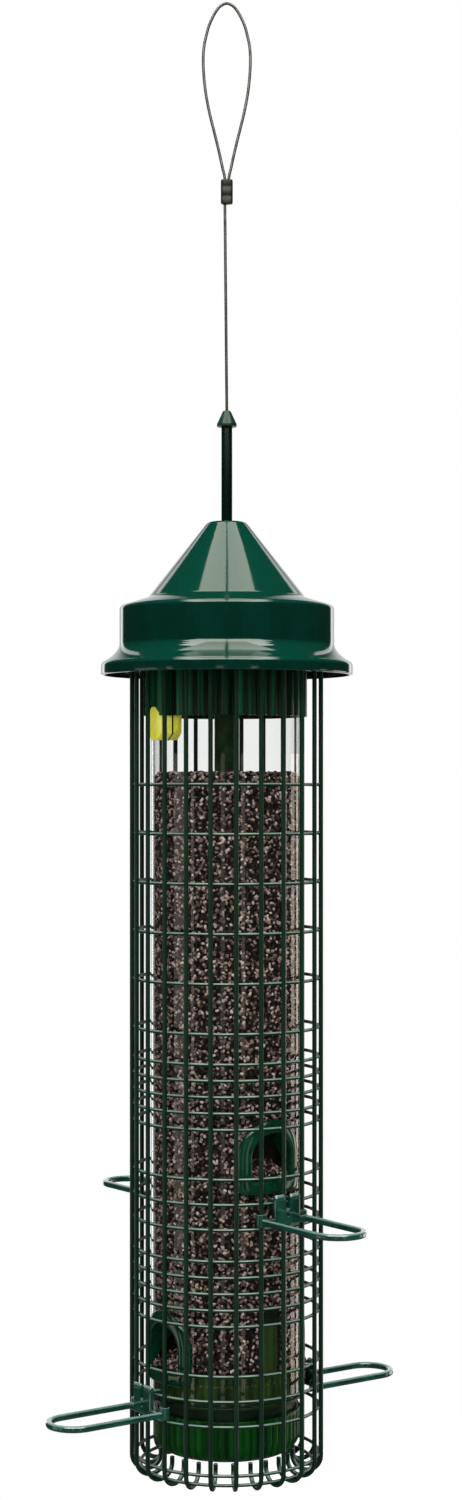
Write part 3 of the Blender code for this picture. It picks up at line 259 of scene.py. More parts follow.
def make_piece(name, shells, material, sharp=SHARP_ANGLE):
    """One object of several shells: doubles at poles and seams merged, faces turned outwards, then smoothed.
    Edges sharper than the angle in degrees stay sharp."""
    counts = np.cumsum([0] + [len(corners) for corners, _ in shells])
    corners = np.concatenate([corners for corners, _ in shells])
    faces = np.concatenate([faces + start for (_, faces), start in zip(shells, counts)])
    mesh = bpy.data.meshes.new(name)
    mesh.from_pydata(corners, [], faces)
    bm = bmesh.new()
    bm.from_mesh(mesh)
    bmesh.ops.remove_doubles(bm, verts=bm.verts, dist=2e-6)
    bmesh.ops.recalc_face_normals(bm, faces=bm.faces)
    bm.to_mesh(mesh)
    bm.free()
    mesh.shade_smooth()
    mesh.set_sharp_from_angle(angle=math.radians(sharp))
    mesh.materials.append(material)
    piece = bpy.data.objects.new(name, mesh)
    scene.collection.objects.link(piece)
    return piece


def settle(piece, node, body="tube_assembly"):
    """The piece rides on its body and stands for its CAD node, which is hidden."""
    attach(piece, body)
    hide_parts(node)


def carried(path, section, up=UP):
    """A section carried along a path: point = path + across * side + out * up, both square to the path.
    The section is (points, 2), or one of them for each point of the path. Each end gets a softened cap."""
    tangent = unit(np.gradient(path, axis=0))
    up = np.broadcast_to(up, path.shape)
    up = unit(up - (up * tangent).sum(-1, keepdims=True) * tangent)
    side = np.cross(tangent, up)
    section = np.broadcast_to(section, (len(path), *section.shape[-2:]))
    soft = np.abs(section[0]).max() * 0.25
    place = np.array([0, 0, 0, *range(1, len(path) - 1), -1, -1, -1])
    scale = np.array([0.0, 0.78, *[1.0] * len(path), 0.78, 0.0])
    inwards = np.array([0.0, 0.0, soft, *[0.0] * (len(path) - 2), -soft, 0.0, 0.0])
    section = section[place] * scale[:, None, None]
    path = path[place] + tangent[place] * inwards[:, None]
    return path[:, None] + section[..., :1] * side[place][:, None] + section[..., 1:] * up[place][:, None]


def places_at(*parts):
    """Places from their separate coordinates, each one number or an array."""
    return np.stack(np.broadcast_arrays(*parts), -1)


def even_turns(count):
    """Turns spread evenly over a full round."""
    return np.arange(count) * 2 * np.pi / count


def polar(radius, turns, *height):
    """Places at (r cos a, r sin a), and at their height if it is given."""
    return places_at(radius * np.cos(turns), radius * np.sin(turns), *height)


def through(points, steps):
    """A Catmull-Rom curve through the points, with the steps spread evenly over its spans."""
    points = np.asarray(points, float)
    ends = np.concatenate([points[:1] * 2 - points[1:2], points, points[-1:] * 2 - points[-2:-1]])
    at = np.minimum(np.linspace(0, len(points) - 1, steps + 1), len(points) - 1 - 1e-6)
    k = at.astype(int)
    t = (at - k)[:, None]
    a, b, c, d = ends[k], ends[k + 1], ends[k + 2], ends[k + 3]
    quadratic = (a * 2 - b * 5 + c * 4 - d) * t**2 / 2
    return b + (c - a) * t / 2 + quadratic + (b * 3 - a - c * 3 + d) * t**3 / 2


def new_material(name, values):
    """A Principled material with these values. Returns it, its shader, the function that adds nodes to it, and
    its Object coordinates."""
    made = bpy.data.materials.new(name)
    made.use_nodes = True
    shader = made.node_tree.nodes["Principled BSDF"]
    connect(shader, values)
    add = partial(add_node, made.node_tree)
    return made, shader, add, add("TexCoord").outputs["Object"]


CABLE_D = 0.0015
CABLE_LAY = 0.0110
CABLE_END = -0.2117
FINIAL_TIP = -0.2030
FERRULE_FOOT = -0.0995
FERRULE_TOP = -0.0875
LEG = 0.00095
SEAT = 0.0003
LOOP_HALF_WIDTH = 0.0118
# The loop's side from its foot to its crown, as shares of the half width and of the drop from the crown.
LOOP_SIDE_SHARES = (
    (0.21, 0.914), (0.36, 0.823), (0.53, 0.731), (0.70, 0.640), (0.84, 0.549), (0.94, 0.457),
    (1.00, 0.343), (0.97, 0.251), (0.87, 0.183), (0.72, 0.114), (0.46, 0.046), (0.24, 0.013),
)

crown = CABLE_D / 2
half = np.array(LOOP_SIDE_SHARES) * (LOOP_HALF_WIDTH, crown - FERRULE_TOP)
half[:, 1] = crown - half[:, 1]
loop = np.concatenate([[(-LEG, FERRULE_TOP)], half * (-1, 1), [(0, crown)], half[::-1], [(LEG, FERRULE_TOP)]])
in_rod = [(0, CABLE_END + (FINIAL_TIP - CABLE_END) * i / 2) for i in range(3)]
rising = np.linspace((0, FINIAL_TIP + SEAT), (-LEG, FERRULE_FOOT - SEAT), 10)
route = np.concatenate([in_rod, rising[1:], through(loop, 32), [(LEG, FERRULE_FOOT + SEAT)]])
route = route[:, :1] * CAMERA_RIGHT + route[:, 1:] * UP

# Six outer strands show as lobes that turn round the cable once in each lay.
fine = through(route, 640)
run = np.concatenate([[0], np.cumsum(np.linalg.norm(np.diff(fine, axis=0), axis=1))])
lobes = 0.86 + 0.14 * np.abs(np.cos(3 * (even_turns(36) - 2 * np.pi * run[:, None] / CABLE_LAY)))
strand = polar(lobes, even_turns(36)) * CABLE_D / 2

# Stainless steel wire rope, drawn and laid, then handled: it has a soft grey gleam with darker patches.
steel, shader, add, where = new_material("stainless steel strand, drawn", {"Metallic": 1.0, "Roughness": 0.38})
tarnish = add("TexNoise", {"Vector": where, "Scale": 260.0, "Detail": 3.0})
greys = add("Mix", {0: tarnish, 6: "#1d1d1d", 7: "#5e5e5d"}, data_type="RGBA")
connect(shader, {"Base Color": greys})

cable = make_piece("cable_strand", [shell(carried(fine, strand, TOWARDS_CAMERA))], steel)
settle(cable, "hanging_cable")


# Ferrule: an oval aluminium sleeve, blackened, pushed over both legs of the loop and pressed twice in a die.
# It holds the loop by friction alone.


def stadium(width, height, power, count):
    """A rounded box of (across, out) points: |2 x / w| ^ p + |2 y / h| ^ p = 1."""
    across, out = polar(1, even_turns(count)).T
    reach = (np.abs(across) ** power + np.abs(out) ** power) ** (-1 / power)
    return places_at(across * reach * width / 2, out * reach * height / 2)


FERRULE_WIDTH = 0.0060
FERRULE_DEPTH = 0.0041
CHAMFER = 0.93
BORE_DEPTH = 0.0010

# Each die presses the sleeve in by 17 % at its middle: squeeze = exp(-((share - middle) / 0.095) ^ 2).
shares = np.linspace(0.045, 0.955, 36)
squeeze = sum(np.exp(-(((shares - middle) / 0.095) ** 2)) for middle in (0.30, 0.70))
wall = stadium(FERRULE_WIDTH, FERRULE_DEPTH, 2.6, 48)
wall = wall * places_at(1, 1 - 0.17 * squeeze)[:, None]
bore = stadium(0.0036, 0.0017, 3.0, 48)[None]
sections = np.concatenate([bore, bore, wall[:1] * CHAMFER, wall, wall[-1:] * CHAMFER, bore, bore])
levels = [FERRULE_FOOT + BORE_DEPTH, FERRULE_FOOT, FERRULE_FOOT]
levels += [*(FERRULE_FOOT + (FERRULE_TOP - FERRULE_FOOT) * shares)]
levels = np.array([*levels, FERRULE_TOP, FERRULE_TOP, FERRULE_TOP - BORE_DEPTH])
sleeve = sections[..., :1] * CAMERA_RIGHT + sections[..., 1:] * TOWARDS_CAMERA + levels[:, None, None] * UP

# Blackened aluminium, pressed in a die: dark and dull, rubbed paler in places.
plain = {"Metallic": 0.75, "Roughness": 0.46}
blackened, shader, add, where = new_material("blackened aluminium, pressed", plain)
rubbed = add("TexNoise", {"Vector": where, "Scale": 420.0, "Detail": 4.0})
darks = add("Mix", {0: rubbed, 6: "#0f0f10", 7: "#2e2e2f"}, data_type="RGBA")
grit = add("Bump", {"Height": rubbed, "Distance": 0.0001, "Strength": 0.4})
connect(shader, {"Base Color": darks, "Normal": grit})

ferrule = make_piece("crimped_ferrule", [shell(sleeve, along=True)], blackened)
settle(ferrule, "cable_ferrule")


def dress(material, *nodes):
    """The material in every slot of CAD nodes that stay as they are."""
    for node in nodes:
        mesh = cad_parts[node].data
        mesh.materials.clear()
        mesh.materials.append(material)


# The sleeve inside the rod's head is the same pressed metal, and so are the clip, the nut and the screw.
dress(blackened, "cable_stop", "rod_clip", "rod_nut", "base_screw")


# Finial: a small cone with a lip round its foot, moulded in green plastic and weathered. It is screwed on the
# rod's head and keeps the roof on the rod.


def softened(outline, radius, steps=4, closed=True):
    """Each corner becomes a quadratic curve between the points a radius away on both sides of it:
    (1 - t)^2 A + 2 t (1 - t) corner + t^2 B. A and B stay within 45 % of their sides."""
    corners = np.asarray(outline, float)
    before = np.roll(corners, 1, 0) - corners
    after = np.roll(corners, -1, 0) - corners
    if not closed:
        before[[0, -1]] = after[[0, -1]] = 0
    legs = []
    for leg in (before, after):
        size = np.maximum(np.linalg.norm(leg, axis=1), 1e-9)
        legs.append(leg * (np.minimum(np.broadcast_to(radius, size.shape), size * 0.45) / size)[:, None])
    t = np.linspace(0, 1, steps + 1)[None, :, None]
    start, end = (corners + legs[0])[:, None], (corners + legs[1])[:, None]
    return ((1 - t) ** 2 * start + 2 * t * (1 - t) * corners[:, None] + t**2 * end).reshape(-1, 2)


def revolved(outline, steps, closed=True):
    """The shell of a (radius, height) outline turned round the axis: (r cos a, r sin a, h)."""
    radius, height = np.moveaxis(np.asarray(outline, float)[..., None, :], -1, 0)
    return shell(polar(radius, even_turns(steps), height), closed)


def moulded(
    name, dark, light, streak, roughness, spread,
    scale=95.0, sheen=0.3, coat=0.0, flutes=0, groove=0.9, painted_top_light=None,
):
    """Injection-moulded plastic: flow streaks between two shades, a fine texture and uneven polish.
    Flutes paint shade into the grooves between them: shade = groove * ((1 - cos(flutes * turn)) / 2) ^ 2.
    The last argument paints light from above: the colour of faces that look up, the heights of their normals
    from none to all of it, and its patchiness."""
    plain = {"IOR": 1.49, "Coat Weight": coat, "Coat Roughness": 0.05, "Specular IOR Level": sheen}
    made, shader, add, where = new_material(name, plain)
    drawn = add("Mapping", {"Vector": where, "Scale": (1.0, 1.0, streak)})
    flow = add("TexNoise", {"Vector": drawn, "Scale": scale, "Detail": 4.0, "Roughness": 0.6})
    tones = {"Value": flow, "From Min": 0.32, "From Max": 0.68}
    tones = add("MapRange", tones, interpolation_type="SMOOTHSTEP")
    colour = add("Mix", {0: tones, 6: dark, 7: light}, data_type="RGBA")
    # Painted shade: the grooves between the flutes are mixed towards near black.
    if flutes:
        place = add("SeparateXYZ", {"Vector": where}).outputs
        turn = add("Math", {0: place["Y"], 1: place["X"]}, operation="ARCTAN2")
        wave = add("Math", {0: turn, 1: float(flutes)}, operation="MULTIPLY")
        wave = add("Math", {0: wave}, operation="COSINE")
        depth = add("MapRange", {"Value": wave, "From Min": 1.0, "From Max": -1.0})
        depth = add("Math", {0: depth, 1: 2.0}, operation="POWER")
        depth = add("Math", {0: depth, 1: groove}, operation="MULTIPLY")
        colour = add("Mix", {0: depth, 6: colour, 7: "#020c06"}, data_type="RGBA")
    # Painted light from above: faces that look up are mixed towards the given colour.
    if painted_top_light:
        pale, least, most, patchiness = painted_top_light
        normal = add("NewGeometry").outputs["Normal"]
        upwards = add("SeparateXYZ", {"Vector": normal}).outputs["Z"]
        upper = add("MapRange", {"Value": upwards, "From Min": least, "From Max": most})
        patchy = add("TexNoise", {"Vector": where, "Scale": 160.0, "Detail": 2.0})
        patchy = add("MapRange", {"Value": patchy, "To Min": 1.0 - patchiness, "To Max": 1.0})
        upper = add("Math", {0: upper, 1: patchy}, operation="MULTIPLY")
        colour = add("Mix", {0: upper, 6: colour, 7: pale}, data_type="RGBA")
    polish = {"Value": flow, "To Min": roughness - spread, "To Max": roughness + spread}
    grain = add("TexNoise", {"Vector": where, "Scale": 900.0, "Detail": 2.0})
    texture = add("Bump", {"Height": grain, "Distance": 0.00004, "Strength": 0.25})
    connect(shader, {"Base Color": colour, "Roughness": add("MapRange", polish), "Normal": texture})
    return made


# Polypropylene, moulded dark green: a soft sheen, slightly uneven in tone along the flow.
green = moulded("polypropylene, moulded dark green", "#032616", "#073c24", 0.35, 0.30, 0.08)
# The finial is the same plastic, weathered paler and greyer.
finial_green = moulded("polypropylene, moulded and weathered", "#08241a", "#183f2e", 0.6, 0.34, 0.08)

finial = softened(
    [
        (0.00105, FINIAL_TIP), (0.0019, FINIAL_TIP), (0.0050, FINIAL_TIP - 0.0066),
        (0.0050, FINIAL_TIP - 0.0080), (0.00305, FINIAL_TIP - 0.0080), (0.00305, FINIAL_TIP - 0.0034),
        (0.00105, FINIAL_TIP - 0.0034),
    ],
    [0.0002, 0.0006, 0.0004, 0.0003, 0.0002, 0.0001, 0.0001],
)
cap = make_piece("finial", [revolved(finial, 64)], finial_green)
settle(cap, "finial_cap")


# Hanger rod: 5.5 mm steel, drawn straight and powder coated, with a groove for the clip and a bore in its head
# for the cable's stop. It carries the tube on its nut, and roof and shroud slide on it.

ROD_R = 0.00275
ROD_TOP = -0.2067
ROD_FOOT = -0.478186
CLIP_FOOT = -0.289286
GROOVE_DEPTH = 0.0006
HEAD_BORE_R = 0.00185
HEAD_BORE_FOOT = -0.2132

rod_line = softened(
    [
        (0, ROD_FOOT), (ROD_R, ROD_FOOT), (ROD_R, CLIP_FOOT - SEAT), (ROD_R - GROOVE_DEPTH, CLIP_FOOT - SEAT),
        (ROD_R - GROOVE_DEPTH, CLIP_FOOT + 0.0011), (ROD_R, CLIP_FOOT + 0.0011), (ROD_R, ROD_TOP),
        (HEAD_BORE_R, ROD_TOP), (HEAD_BORE_R, HEAD_BORE_FOOT), (0, HEAD_BORE_FOOT),
    ],
    [0, 0.0005, 0.0002, 0.0001, 0.0001, 0.0002, 0.0003, 0.0002, 0.0002, 0],
    closed=False,
)

# Powder coat on steel: a dark green skin 0.1 mm thick with a faint orange-peel surface.
plain = {"IOR": 1.52, "Coat Weight": 0.2, "Coat Roughness": 0.10, "Specular IOR Level": 0.2}
coat, shader, add, where = new_material("steel wire, powder coated", plain)
cloud = add("TexNoise", {"Vector": where, "Scale": 70.0, "Detail": 3.0})
skin = add("Mix", {0: cloud, 6: "#01180f", 7: "#022e1b"}, data_type="RGBA")
# Painted highlight: the rings' upper outer side is mixed to a pale grey-green, for the light from above.
normal = add("NewGeometry").outputs["Normal"]
outward = add("VectorMath", {0: where, 1: (1.0, 1.0, 0.0)}, operation="MULTIPLY")
outward = add("VectorMath", {0: outward}, operation="NORMALIZE")
outside = add("VectorMath", {0: normal, 1: outward}, operation="DOT_PRODUCT")
outside = add("MapRange", {"Value": outside, "From Min": 0.15, "From Max": 0.5})
on_top = add("SeparateXYZ", {"Vector": normal}).outputs["Z"]
on_top = add("MapRange", {"Value": on_top, "From Min": 0.05, "From Max": 0.40})
painted_ring_highlight = add("Math", {0: on_top, 1: outside}, operation="MULTIPLY")
patchy = add("MapRange", {"Value": cloud, "To Min": 0.55, "To Max": 1.0})
painted_ring_highlight = add("Math", {0: painted_ring_highlight, 1: patchy}, operation="MULTIPLY")
skin = add("Mix", {0: painted_ring_highlight, 6: skin, 7: "#86a093"}, data_type="RGBA")
peel = add("TexNoise", {"Vector": where, "Scale": 1400.0, "Detail": 1.0})
dimples = add("Bump", {"Height": peel, "Distance": 0.00005, "Strength": 0.3})
gleam = add("MapRange", {"Value": cloud, "To Min": 0.24, "To Max": 0.42})
connect(shader, {"Base Color": skin, "Roughness": gleam, "Normal": dimples})

# The rod has a thicker coat of the same powder, which comes out nearly black.
rod_coat = moulded("steel rod, powder coated twice", "#010c08", "#042018", 0.1, 0.22, 0.05, sheen=0.2)
rod = make_piece("rod", [revolved(rod_line, 64, closed=False)], rod_coat)
settle(rod, "hanger_rod")


# Roof: one moulded ABS shell, a cone on a band with a flared rim and three pin holes. A boss inside its crown
# slides on the rod, and it rests on the carrier below.

ROOF_TOP = -0.2585
ROOF_BORE_R = ROD_R + 0.0006
BAND_R = 0.0537
FLARE_RUN = 0.0086
RIM_FOOT = -0.0767
PIN_TURNS = np.radians([45, 165, 285])
PIN_HOLE_D = 0.0020

# The line runs down the outside and back up the inside, as radius and height below the roof's top.
flare = np.linspace(0, 1, 13)
flare = places_at(BAND_R + FLARE_RUN * flare**2, -0.0607 - 0.0098 * flare)
outer = np.concatenate(
    [
        [(ROOF_BORE_R, 0), (0.0095, 0), (0.0394, -0.0380), (BAND_R, -0.0425)],
        flare,
        [(0.0630, -0.0717), (0.0630, RIM_FOOT), (0.0610, RIM_FOOT)],
    ]
)
rounding = [0, 0.0022, 0.0011, 0.0017, 0.0012, *[0.0006] * 11, 0.0008, 0.0009, 0.0009, 0]
inner = [
    (0.0612, RIM_FOOT), (0.0612, -0.0722), (0.0590, -0.0700), (0.0548, -0.0660), (0.0524, -0.0625),
    (0.0519, -0.0607), (0.0519, -0.0441), (0.0385, -0.0398), (0.0087, -0.0018), (0.0061, -0.0018),
    (0.0061, -0.0042), (ROOF_BORE_R, -0.0042),
]
roof_line = np.concatenate(
    [softened(outer, rounding, steps=5, closed=False), softened(inner, 0.0006, steps=2, closed=False)]
) + (0, ROOF_TOP)


def cut(piece, name, shells):
    """The piece with closed shells cut out of it by an exact Boolean, which is applied."""
    tool = make_piece(name, shells, piece.data.materials[0])
    modifier = piece.modifiers.new("cut", "BOOLEAN")
    modifier.object = tool
    modifier.solver = "EXACT"
    bpy.context.view_layer.update()
    applied = piece.evaluated_get(bpy.context.evaluated_depsgraph_get())
    mesh = bpy.data.meshes.new_from_object(applied)
    piece.modifiers.clear()
    piece.data = mesh
    bpy.data.objects.remove(tool, do_unlink=True)
    mesh.shade_smooth()
    mesh.set_sharp_from_angle(angle=math.radians(SHARP_ANGLE))


def turned_about(points, turns):
    """Copies of the points turned about the upright axis: (x cos a - y sin a, x sin a + y cos a, z)."""
    turns = np.asarray(turns, float).reshape(-1, *[1] * (points.ndim - 1))
    x, y, z = np.moveaxis(points, -1, 0)
    cos, sin = np.cos(turns), np.sin(turns)
    return places_at(x * cos - y * sin, x * sin + y * cos, z)


def circle(diameter, count):
    """Points round a circle, as (across, out)."""
    return polar(1, even_turns(count)) * diameter / 2


# ABS, moulded in a polished tool: a deep, even green with a clear gloss.
# Faces that look up are painted a paler green: painted light from above.
painted_light_from_above = ("#03382c", 0.05, 0.35, 0.1)
roof_green = moulded(
    "ABS, moulded in a polished tool", "#01241b", "#022a21", 0.5, 0.08, 0.02, sheen=0.5, painted_top_light=painted_light_from_above
)
roof = make_piece("roof_shell", [revolved(roof_line, 192)], roof_green)
pin_path = np.array([(0.046, 0, ROOF_TOP - 0.0579), (0.060, 0, ROOF_TOP - 0.0579)])
pin_hole = carried(pin_path, circle(PIN_HOLE_D, 20))
cut(roof, "pin_holes", [shell(turned_about(pin_hole, PIN_TURNS))])
settle(roof, "roof", body="roof")


# Shroud: 24 steel wires spot-welded outside 25 rings and coated green. The rings are wide apart above and close
# over each port's way down, and the wires turn in and up at the foot. It hooks into the carrier under the roof.

CAGE_R = 0.0474
CAGE_WIRES = 24
WIRE_D = 0.0023
RING_D = 0.0017
WELD = 0.0003
RING_R = CAGE_R - (WIRE_D + RING_D) / 2 + WELD
CAGE_TOP = -0.3058
FOOT_BEND_Z = -0.72325
FOOT_BEND_R = 0.0072
UPPER_PORT = -0.571086
LOWER_PORT = -0.665886

foot_bend = np.linspace(0, np.pi, 15)
inwards = FOOT_BEND_R * (1 - np.cos(foot_bend))
drop = np.linspace(CAGE_TOP, FOOT_BEND_Z, 40)[:-1]
wire_path = np.concatenate(
    [
        places_at(CAGE_R, 0, drop),
        places_at(CAGE_R - inwards, 0, FOOT_BEND_Z - FOOT_BEND_R * np.sin(foot_bend)),
        [(CAGE_R - 2 * FOOT_BEND_R, 0, FOOT_BEND_Z + 0.0031)],
    ]
)
wire = carried(wire_path, circle(WIRE_D, 12), (0.0, 1.0, 0.0))
wire_turns = even_turns(CAGE_WIRES)

# Six wide rings, then for each port five close ones above its middle and three below, and one at the foot.
port_heights = np.array([[UPPER_PORT], [LOWER_PORT]])
ring_heights = np.concatenate(
    [
        -0.510286 + 0.0241 * np.arange(6),
        (port_heights + 0.0148 + 0.00785 * np.arange(5)).ravel(),
        (port_heights - 0.0092 - 0.0121 * np.arange(3)).ravel(),
        [-0.722686],
    ]
)
# One more lies round the top of the wires, and the last one inside their bend at the foot.
last_turn = math.radians(58)
last_reach = FOOT_BEND_R - (WIRE_D + RING_D) / 2 + WELD
last_place = (
    CAGE_R - FOOT_BEND_R + last_reach * math.cos(last_turn), FOOT_BEND_Z - last_reach * math.sin(last_turn)
)
ring_places = np.concatenate([[(CAGE_R, -0.307036)], places_at(RING_R, ring_heights), [last_place]])
rings = revolved(ring_places[:, None] + circle(RING_D, 10), 144)

# Each crossing has a bead where the two wires melted into each other: an ellipsoid, 1.6 mm deep and 3 mm wide.
bead_turns = even_turns(8)
bead_rows = np.linspace(-np.pi / 2, np.pi / 2, 5)[:, None]
bead = places_at(
    0.00080 * np.cos(bead_rows) * np.cos(bead_turns),
    0.00150 * np.cos(bead_rows) * np.sin(bead_turns),
    0.00105 * np.sin(bead_rows),
)
bead_places = places_at(RING_R + RING_D / 2 - 0.0001, 0, ring_heights)
beads = turned_about((bead_places[:, None, None] + bead).reshape(-1, 5, 8, 3), wire_turns)

lattice = [shell(turned_about(wire, wire_turns)), rings, shell(beads)]
shroud = make_piece("welded_shroud", lattice, coat)
settle(shroud, "wire_shroud", body="shroud")


# Carrier and plunger: the spider that hooks the shroud and takes the roof, and the sleeve that leads its weight
# down to the spring. Both are moulded in plain green plastic, and so is the spring's seat. They stay as the
# frame has them.

dress(green, "shroud_carrier", "spring_plunger", "spring_seat")


# Closing spring: bare steel wire, wound in 26 turns with closed ends. It stands on the seat inside the post,
# and the plunger presses it from above.

SPRING_FOOT = -0.462286
SPRING_TOP = -0.364086
SPRING_TURNS = 26
SPRING_WIRE_D = 0.0007
SPRING_R = 0.0036

t = np.linspace(0, 1, SPRING_TURNS * 18 + 1)
pitch = np.clip(np.minimum(t, 1 - t) * SPRING_TURNS / 1.5, 0.16, 1.0)
climb = np.concatenate([[0], np.cumsum((pitch[1:] + pitch[:-1]) / 2)])
coil_foot, coil_top = SPRING_FOOT + SPRING_WIRE_D / 2, SPRING_TOP - SPRING_WIRE_D / 2
wound = 2 * np.pi * SPRING_TURNS * t
climb = coil_foot + (coil_top - coil_foot) * climb / climb[-1]
helix = carried(polar(SPRING_R, wound, climb), circle(SPRING_WIRE_D, 8))
spring = make_piece("closing_spring_coil", [shell(helix)], steel)
settle(spring, "closing_spring")
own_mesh(spring)


# Post: the spring's housing in the middle of the tube, a moulded pipe. Its flange sits under the collar's hub,
# and the spring's seat closes its foot.

POST_R = 0.0062
POST_BORE_R = 0.0047
POST_FOOT = -0.469786
POST_TOP = -0.332286
FLANGE_R = 0.0086
FLANGE_FOOT = -0.342586
FLANGE_TOP = -0.340186

post_line = softened(
    [
        (POST_BORE_R, POST_FOOT), (POST_R, POST_FOOT), (POST_R, FLANGE_FOOT), (FLANGE_R, FLANGE_FOOT),
        (FLANGE_R, FLANGE_TOP), (POST_R, FLANGE_TOP), (POST_R, POST_TOP), (POST_BORE_R, POST_TOP),
    ],
    [0.0003, 0.0004, 0.0010, 0.0005, 0.0003, 0.0002, 0.0006, 0.0003],
)
# Polypropylene from an older batch: darker and more olive, with cloudy patches.
post_green = moulded("polypropylene, moulded cloudy olive", "#0b2110", "#26491f", 0.6, 0.34, 0.08, scale=120.0)
post = make_piece("spring_post", [revolved(post_line, 72)], post_green)
settle(post, "central_post")


# Collar: the head of the tube, moulded with 40 flutes for grip. Three spokes carry a hub round the post, and a
# hood stands out over the release button.


def smoothstep(values):
    """0 below 0, 1 above 1 and 3 t^2 - 2 t^3 between them."""
    t = np.clip(values, 0, 1)
    return t * t * (3 - 2 * t)


def fluted(outline, is_outside, flutes, depth, columns, closed=True, hood=None):
    """The shell of a (radius, height) outline turned round the axis, where its outside has flutes:
    radius - depth * sin^4(flutes * turn / 2). A hood (radius, half width) stands out of it towards -X."""
    turns = (np.arange(columns) + 0.5) * 2 * np.pi / columns
    radius = outline[:, :1] - is_outside[:, None] * depth * np.sin(flutes * turns / 2) ** 4
    if hood:
        aside = np.abs(np.arctan2(np.sin(turns - np.pi), np.cos(turns - np.pi))) * hood[0]
        out = smoothstep((hood[1] - aside) / 0.0005 + 0.5)
        radius = radius + is_outside[:, None] * out * (outline[:, :1] + hood[0] - outline[:, 0].max() - radius)
    return shell(polar(radius, turns, outline[:, 1:]), closed)


def octagon(width, height, corner):
    """An upright octagon's (across, up) corners: a rectangle with its corners cut at 45 degrees."""
    x, z = width / 2, height / 2
    right = np.array([(x - corner, -z), (x, corner - z), (x, z - corner), (x - corner, z)])
    return np.concatenate([right, right[::-1] * (-1, 1)])


def slab(outline, low, high, soft=0.0, middle=(0.0, 0.0)):
    """A prism of a closed (across, up) outline between two depths, as (depth, across, up), with softened rims:
    each rim's outline is drawn in by the same length towards the middle."""
    away = unit(outline - middle)
    drawn = [outline - away * soft * share for share in (1.8, 1, 0.3, 0, 0, 0.3, 1, 1.8)]
    face = np.broadcast_to(middle, outline.shape)
    across, up = np.moveaxis(np.stack([face, *drawn, face]), -1, 0)
    depths = [low, low, low, low + soft * 0.3, low + soft, high - soft, high - soft * 0.3, high, high, high]
    return places_at(np.array(depths)[:, None], across, up)


COLLAR_R = 0.0401
COLLAR_BORE = 0.0383
COLLAR_TOP = -0.329986
COLLAR_FOOT = -0.356086
HOOD_R = 0.0455
HOOD_HALF_WIDTH = 0.0085
HUB_R = 0.0106
HUB_TOP = -0.334886
HUB_FOOT = -0.339886
SPOKE_Z = -0.337386
BUTTON_Z = -0.359786
BUTTON_WIDTH = 0.0119
BUTTON_HEIGHT = 0.0164
BUTTON_CORNER = 0.0034
FIT = 0.0003

rim_line = softened(
    [
        (COLLAR_BORE, COLLAR_FOOT), (COLLAR_R, COLLAR_FOOT), (COLLAR_R, (COLLAR_FOOT + COLLAR_TOP) / 2),
        (COLLAR_R, COLLAR_TOP), (COLLAR_BORE, COLLAR_TOP),
    ],
    [0.0003, 0.0006, 0.0001, 0.0006, 0.0003],
)
rim = fluted(rim_line, rim_line[:, 0] > COLLAR_BORE + 0.0008, 40, 0.0011, 640, hood=(HOOD_R, HOOD_HALF_WIDTH))
hub_line = softened(
    [(POST_R + FIT, HUB_FOOT), (HUB_R, HUB_FOOT), (HUB_R, HUB_TOP), (POST_R + FIT, HUB_TOP)], 0.0004
)
spoke = carried(np.linspace((0.0090, 0, SPOKE_Z), (0.0390, 0, SPOKE_Z), 8), stadium(0.0035, 0.0048, 5, 24))
spokes = turned_about(spoke, np.radians([60, 180, 300]))
# Polypropylene, moulded with 40 flutes in streaky greens; painted shade makes the grooves between them near
# black.
collar_green = moulded(
    "polypropylene, moulded in a ribbed tool", "#021109", "#074f2e", 0.03, 0.26, 0.08, scale=120.0, flutes=40
)
collar_shells = [rim, revolved(hub_line, 72), shell(spokes)]
collar = make_piece("fluted_collar", collar_shells, collar_green)
button_fit = octagon(BUTTON_WIDTH + 2 * FIT, BUTTON_HEIGHT + 2 * FIT, BUTTON_CORNER)
cut(collar, "button_notch", [shell(slab(button_fit, -0.050, -0.030) + (0, 0, BUTTON_Z))])
settle(collar, "tube_collar")


# Release button: a catch moulded in bright yellow plastic. It reaches through collar and tube and so holds the
# tube, and two ears inside the wall hold it in.

BUTTON_OUT = 0.0437
BUTTON_IN = 0.0310

button_line = softened(octagon(BUTTON_WIDTH, BUTTON_HEIGHT, BUTTON_CORNER), 0.0004, steps=2)
ear_line = softened(octagon(0.0160, 0.0080, 0.0006), 0.0002, steps=1)
catch = slab(button_line, -BUTTON_OUT, -BUTTON_IN, soft=0.0005)
ears = slab(ear_line, -0.0354, -0.0340, soft=0.0002)

# Polypropylene again, in a bright yellow: it lets a little light in, so its edges stay warm and bright.
yellow = moulded("polypropylene, moulded bright yellow", "#f4ec38", "#fdfa78", 1.0, 0.36, 0.06)
depths = (0.003, 0.0026, 0.0008)
connect(
    yellow.node_tree.nodes["Principled BSDF"],
    {"Subsurface Weight": 0.25, "Subsurface Radius": depths, "Subsurface Scale": 0.5},
)
button_shells = [shell(shape + (0, 0, BUTTON_Z)) for shape in (catch, ears)]
button = make_piece("release_catch", button_shells, yellow, sharp=25)
settle(button, "release_button", body="release_button")


# Seed tube: clear polycarbonate pipe, 76 mm across with a 1.4 mm wall. It has four arched holes for the ports
# and one for the button, and hangs on the button under the collar.

TUBE_R = 0.0380
BORE_R = 0.0366
TUBE_TOP = -0.340186
TUBE_FOOT = -0.692086
PORT_WIDTH = 0.0237
PORT_RISE = 0.0115
NECK_WALL = 0.0015
PORTS = {  # turn from +X, and height
    "upper_front": (math.radians(-90), UPPER_PORT),
    "upper_rear": (math.radians(90), UPPER_PORT),
    "lower_left": (math.radians(180), LOWER_PORT),
    "lower_right": (0.0, LOWER_PORT),
}


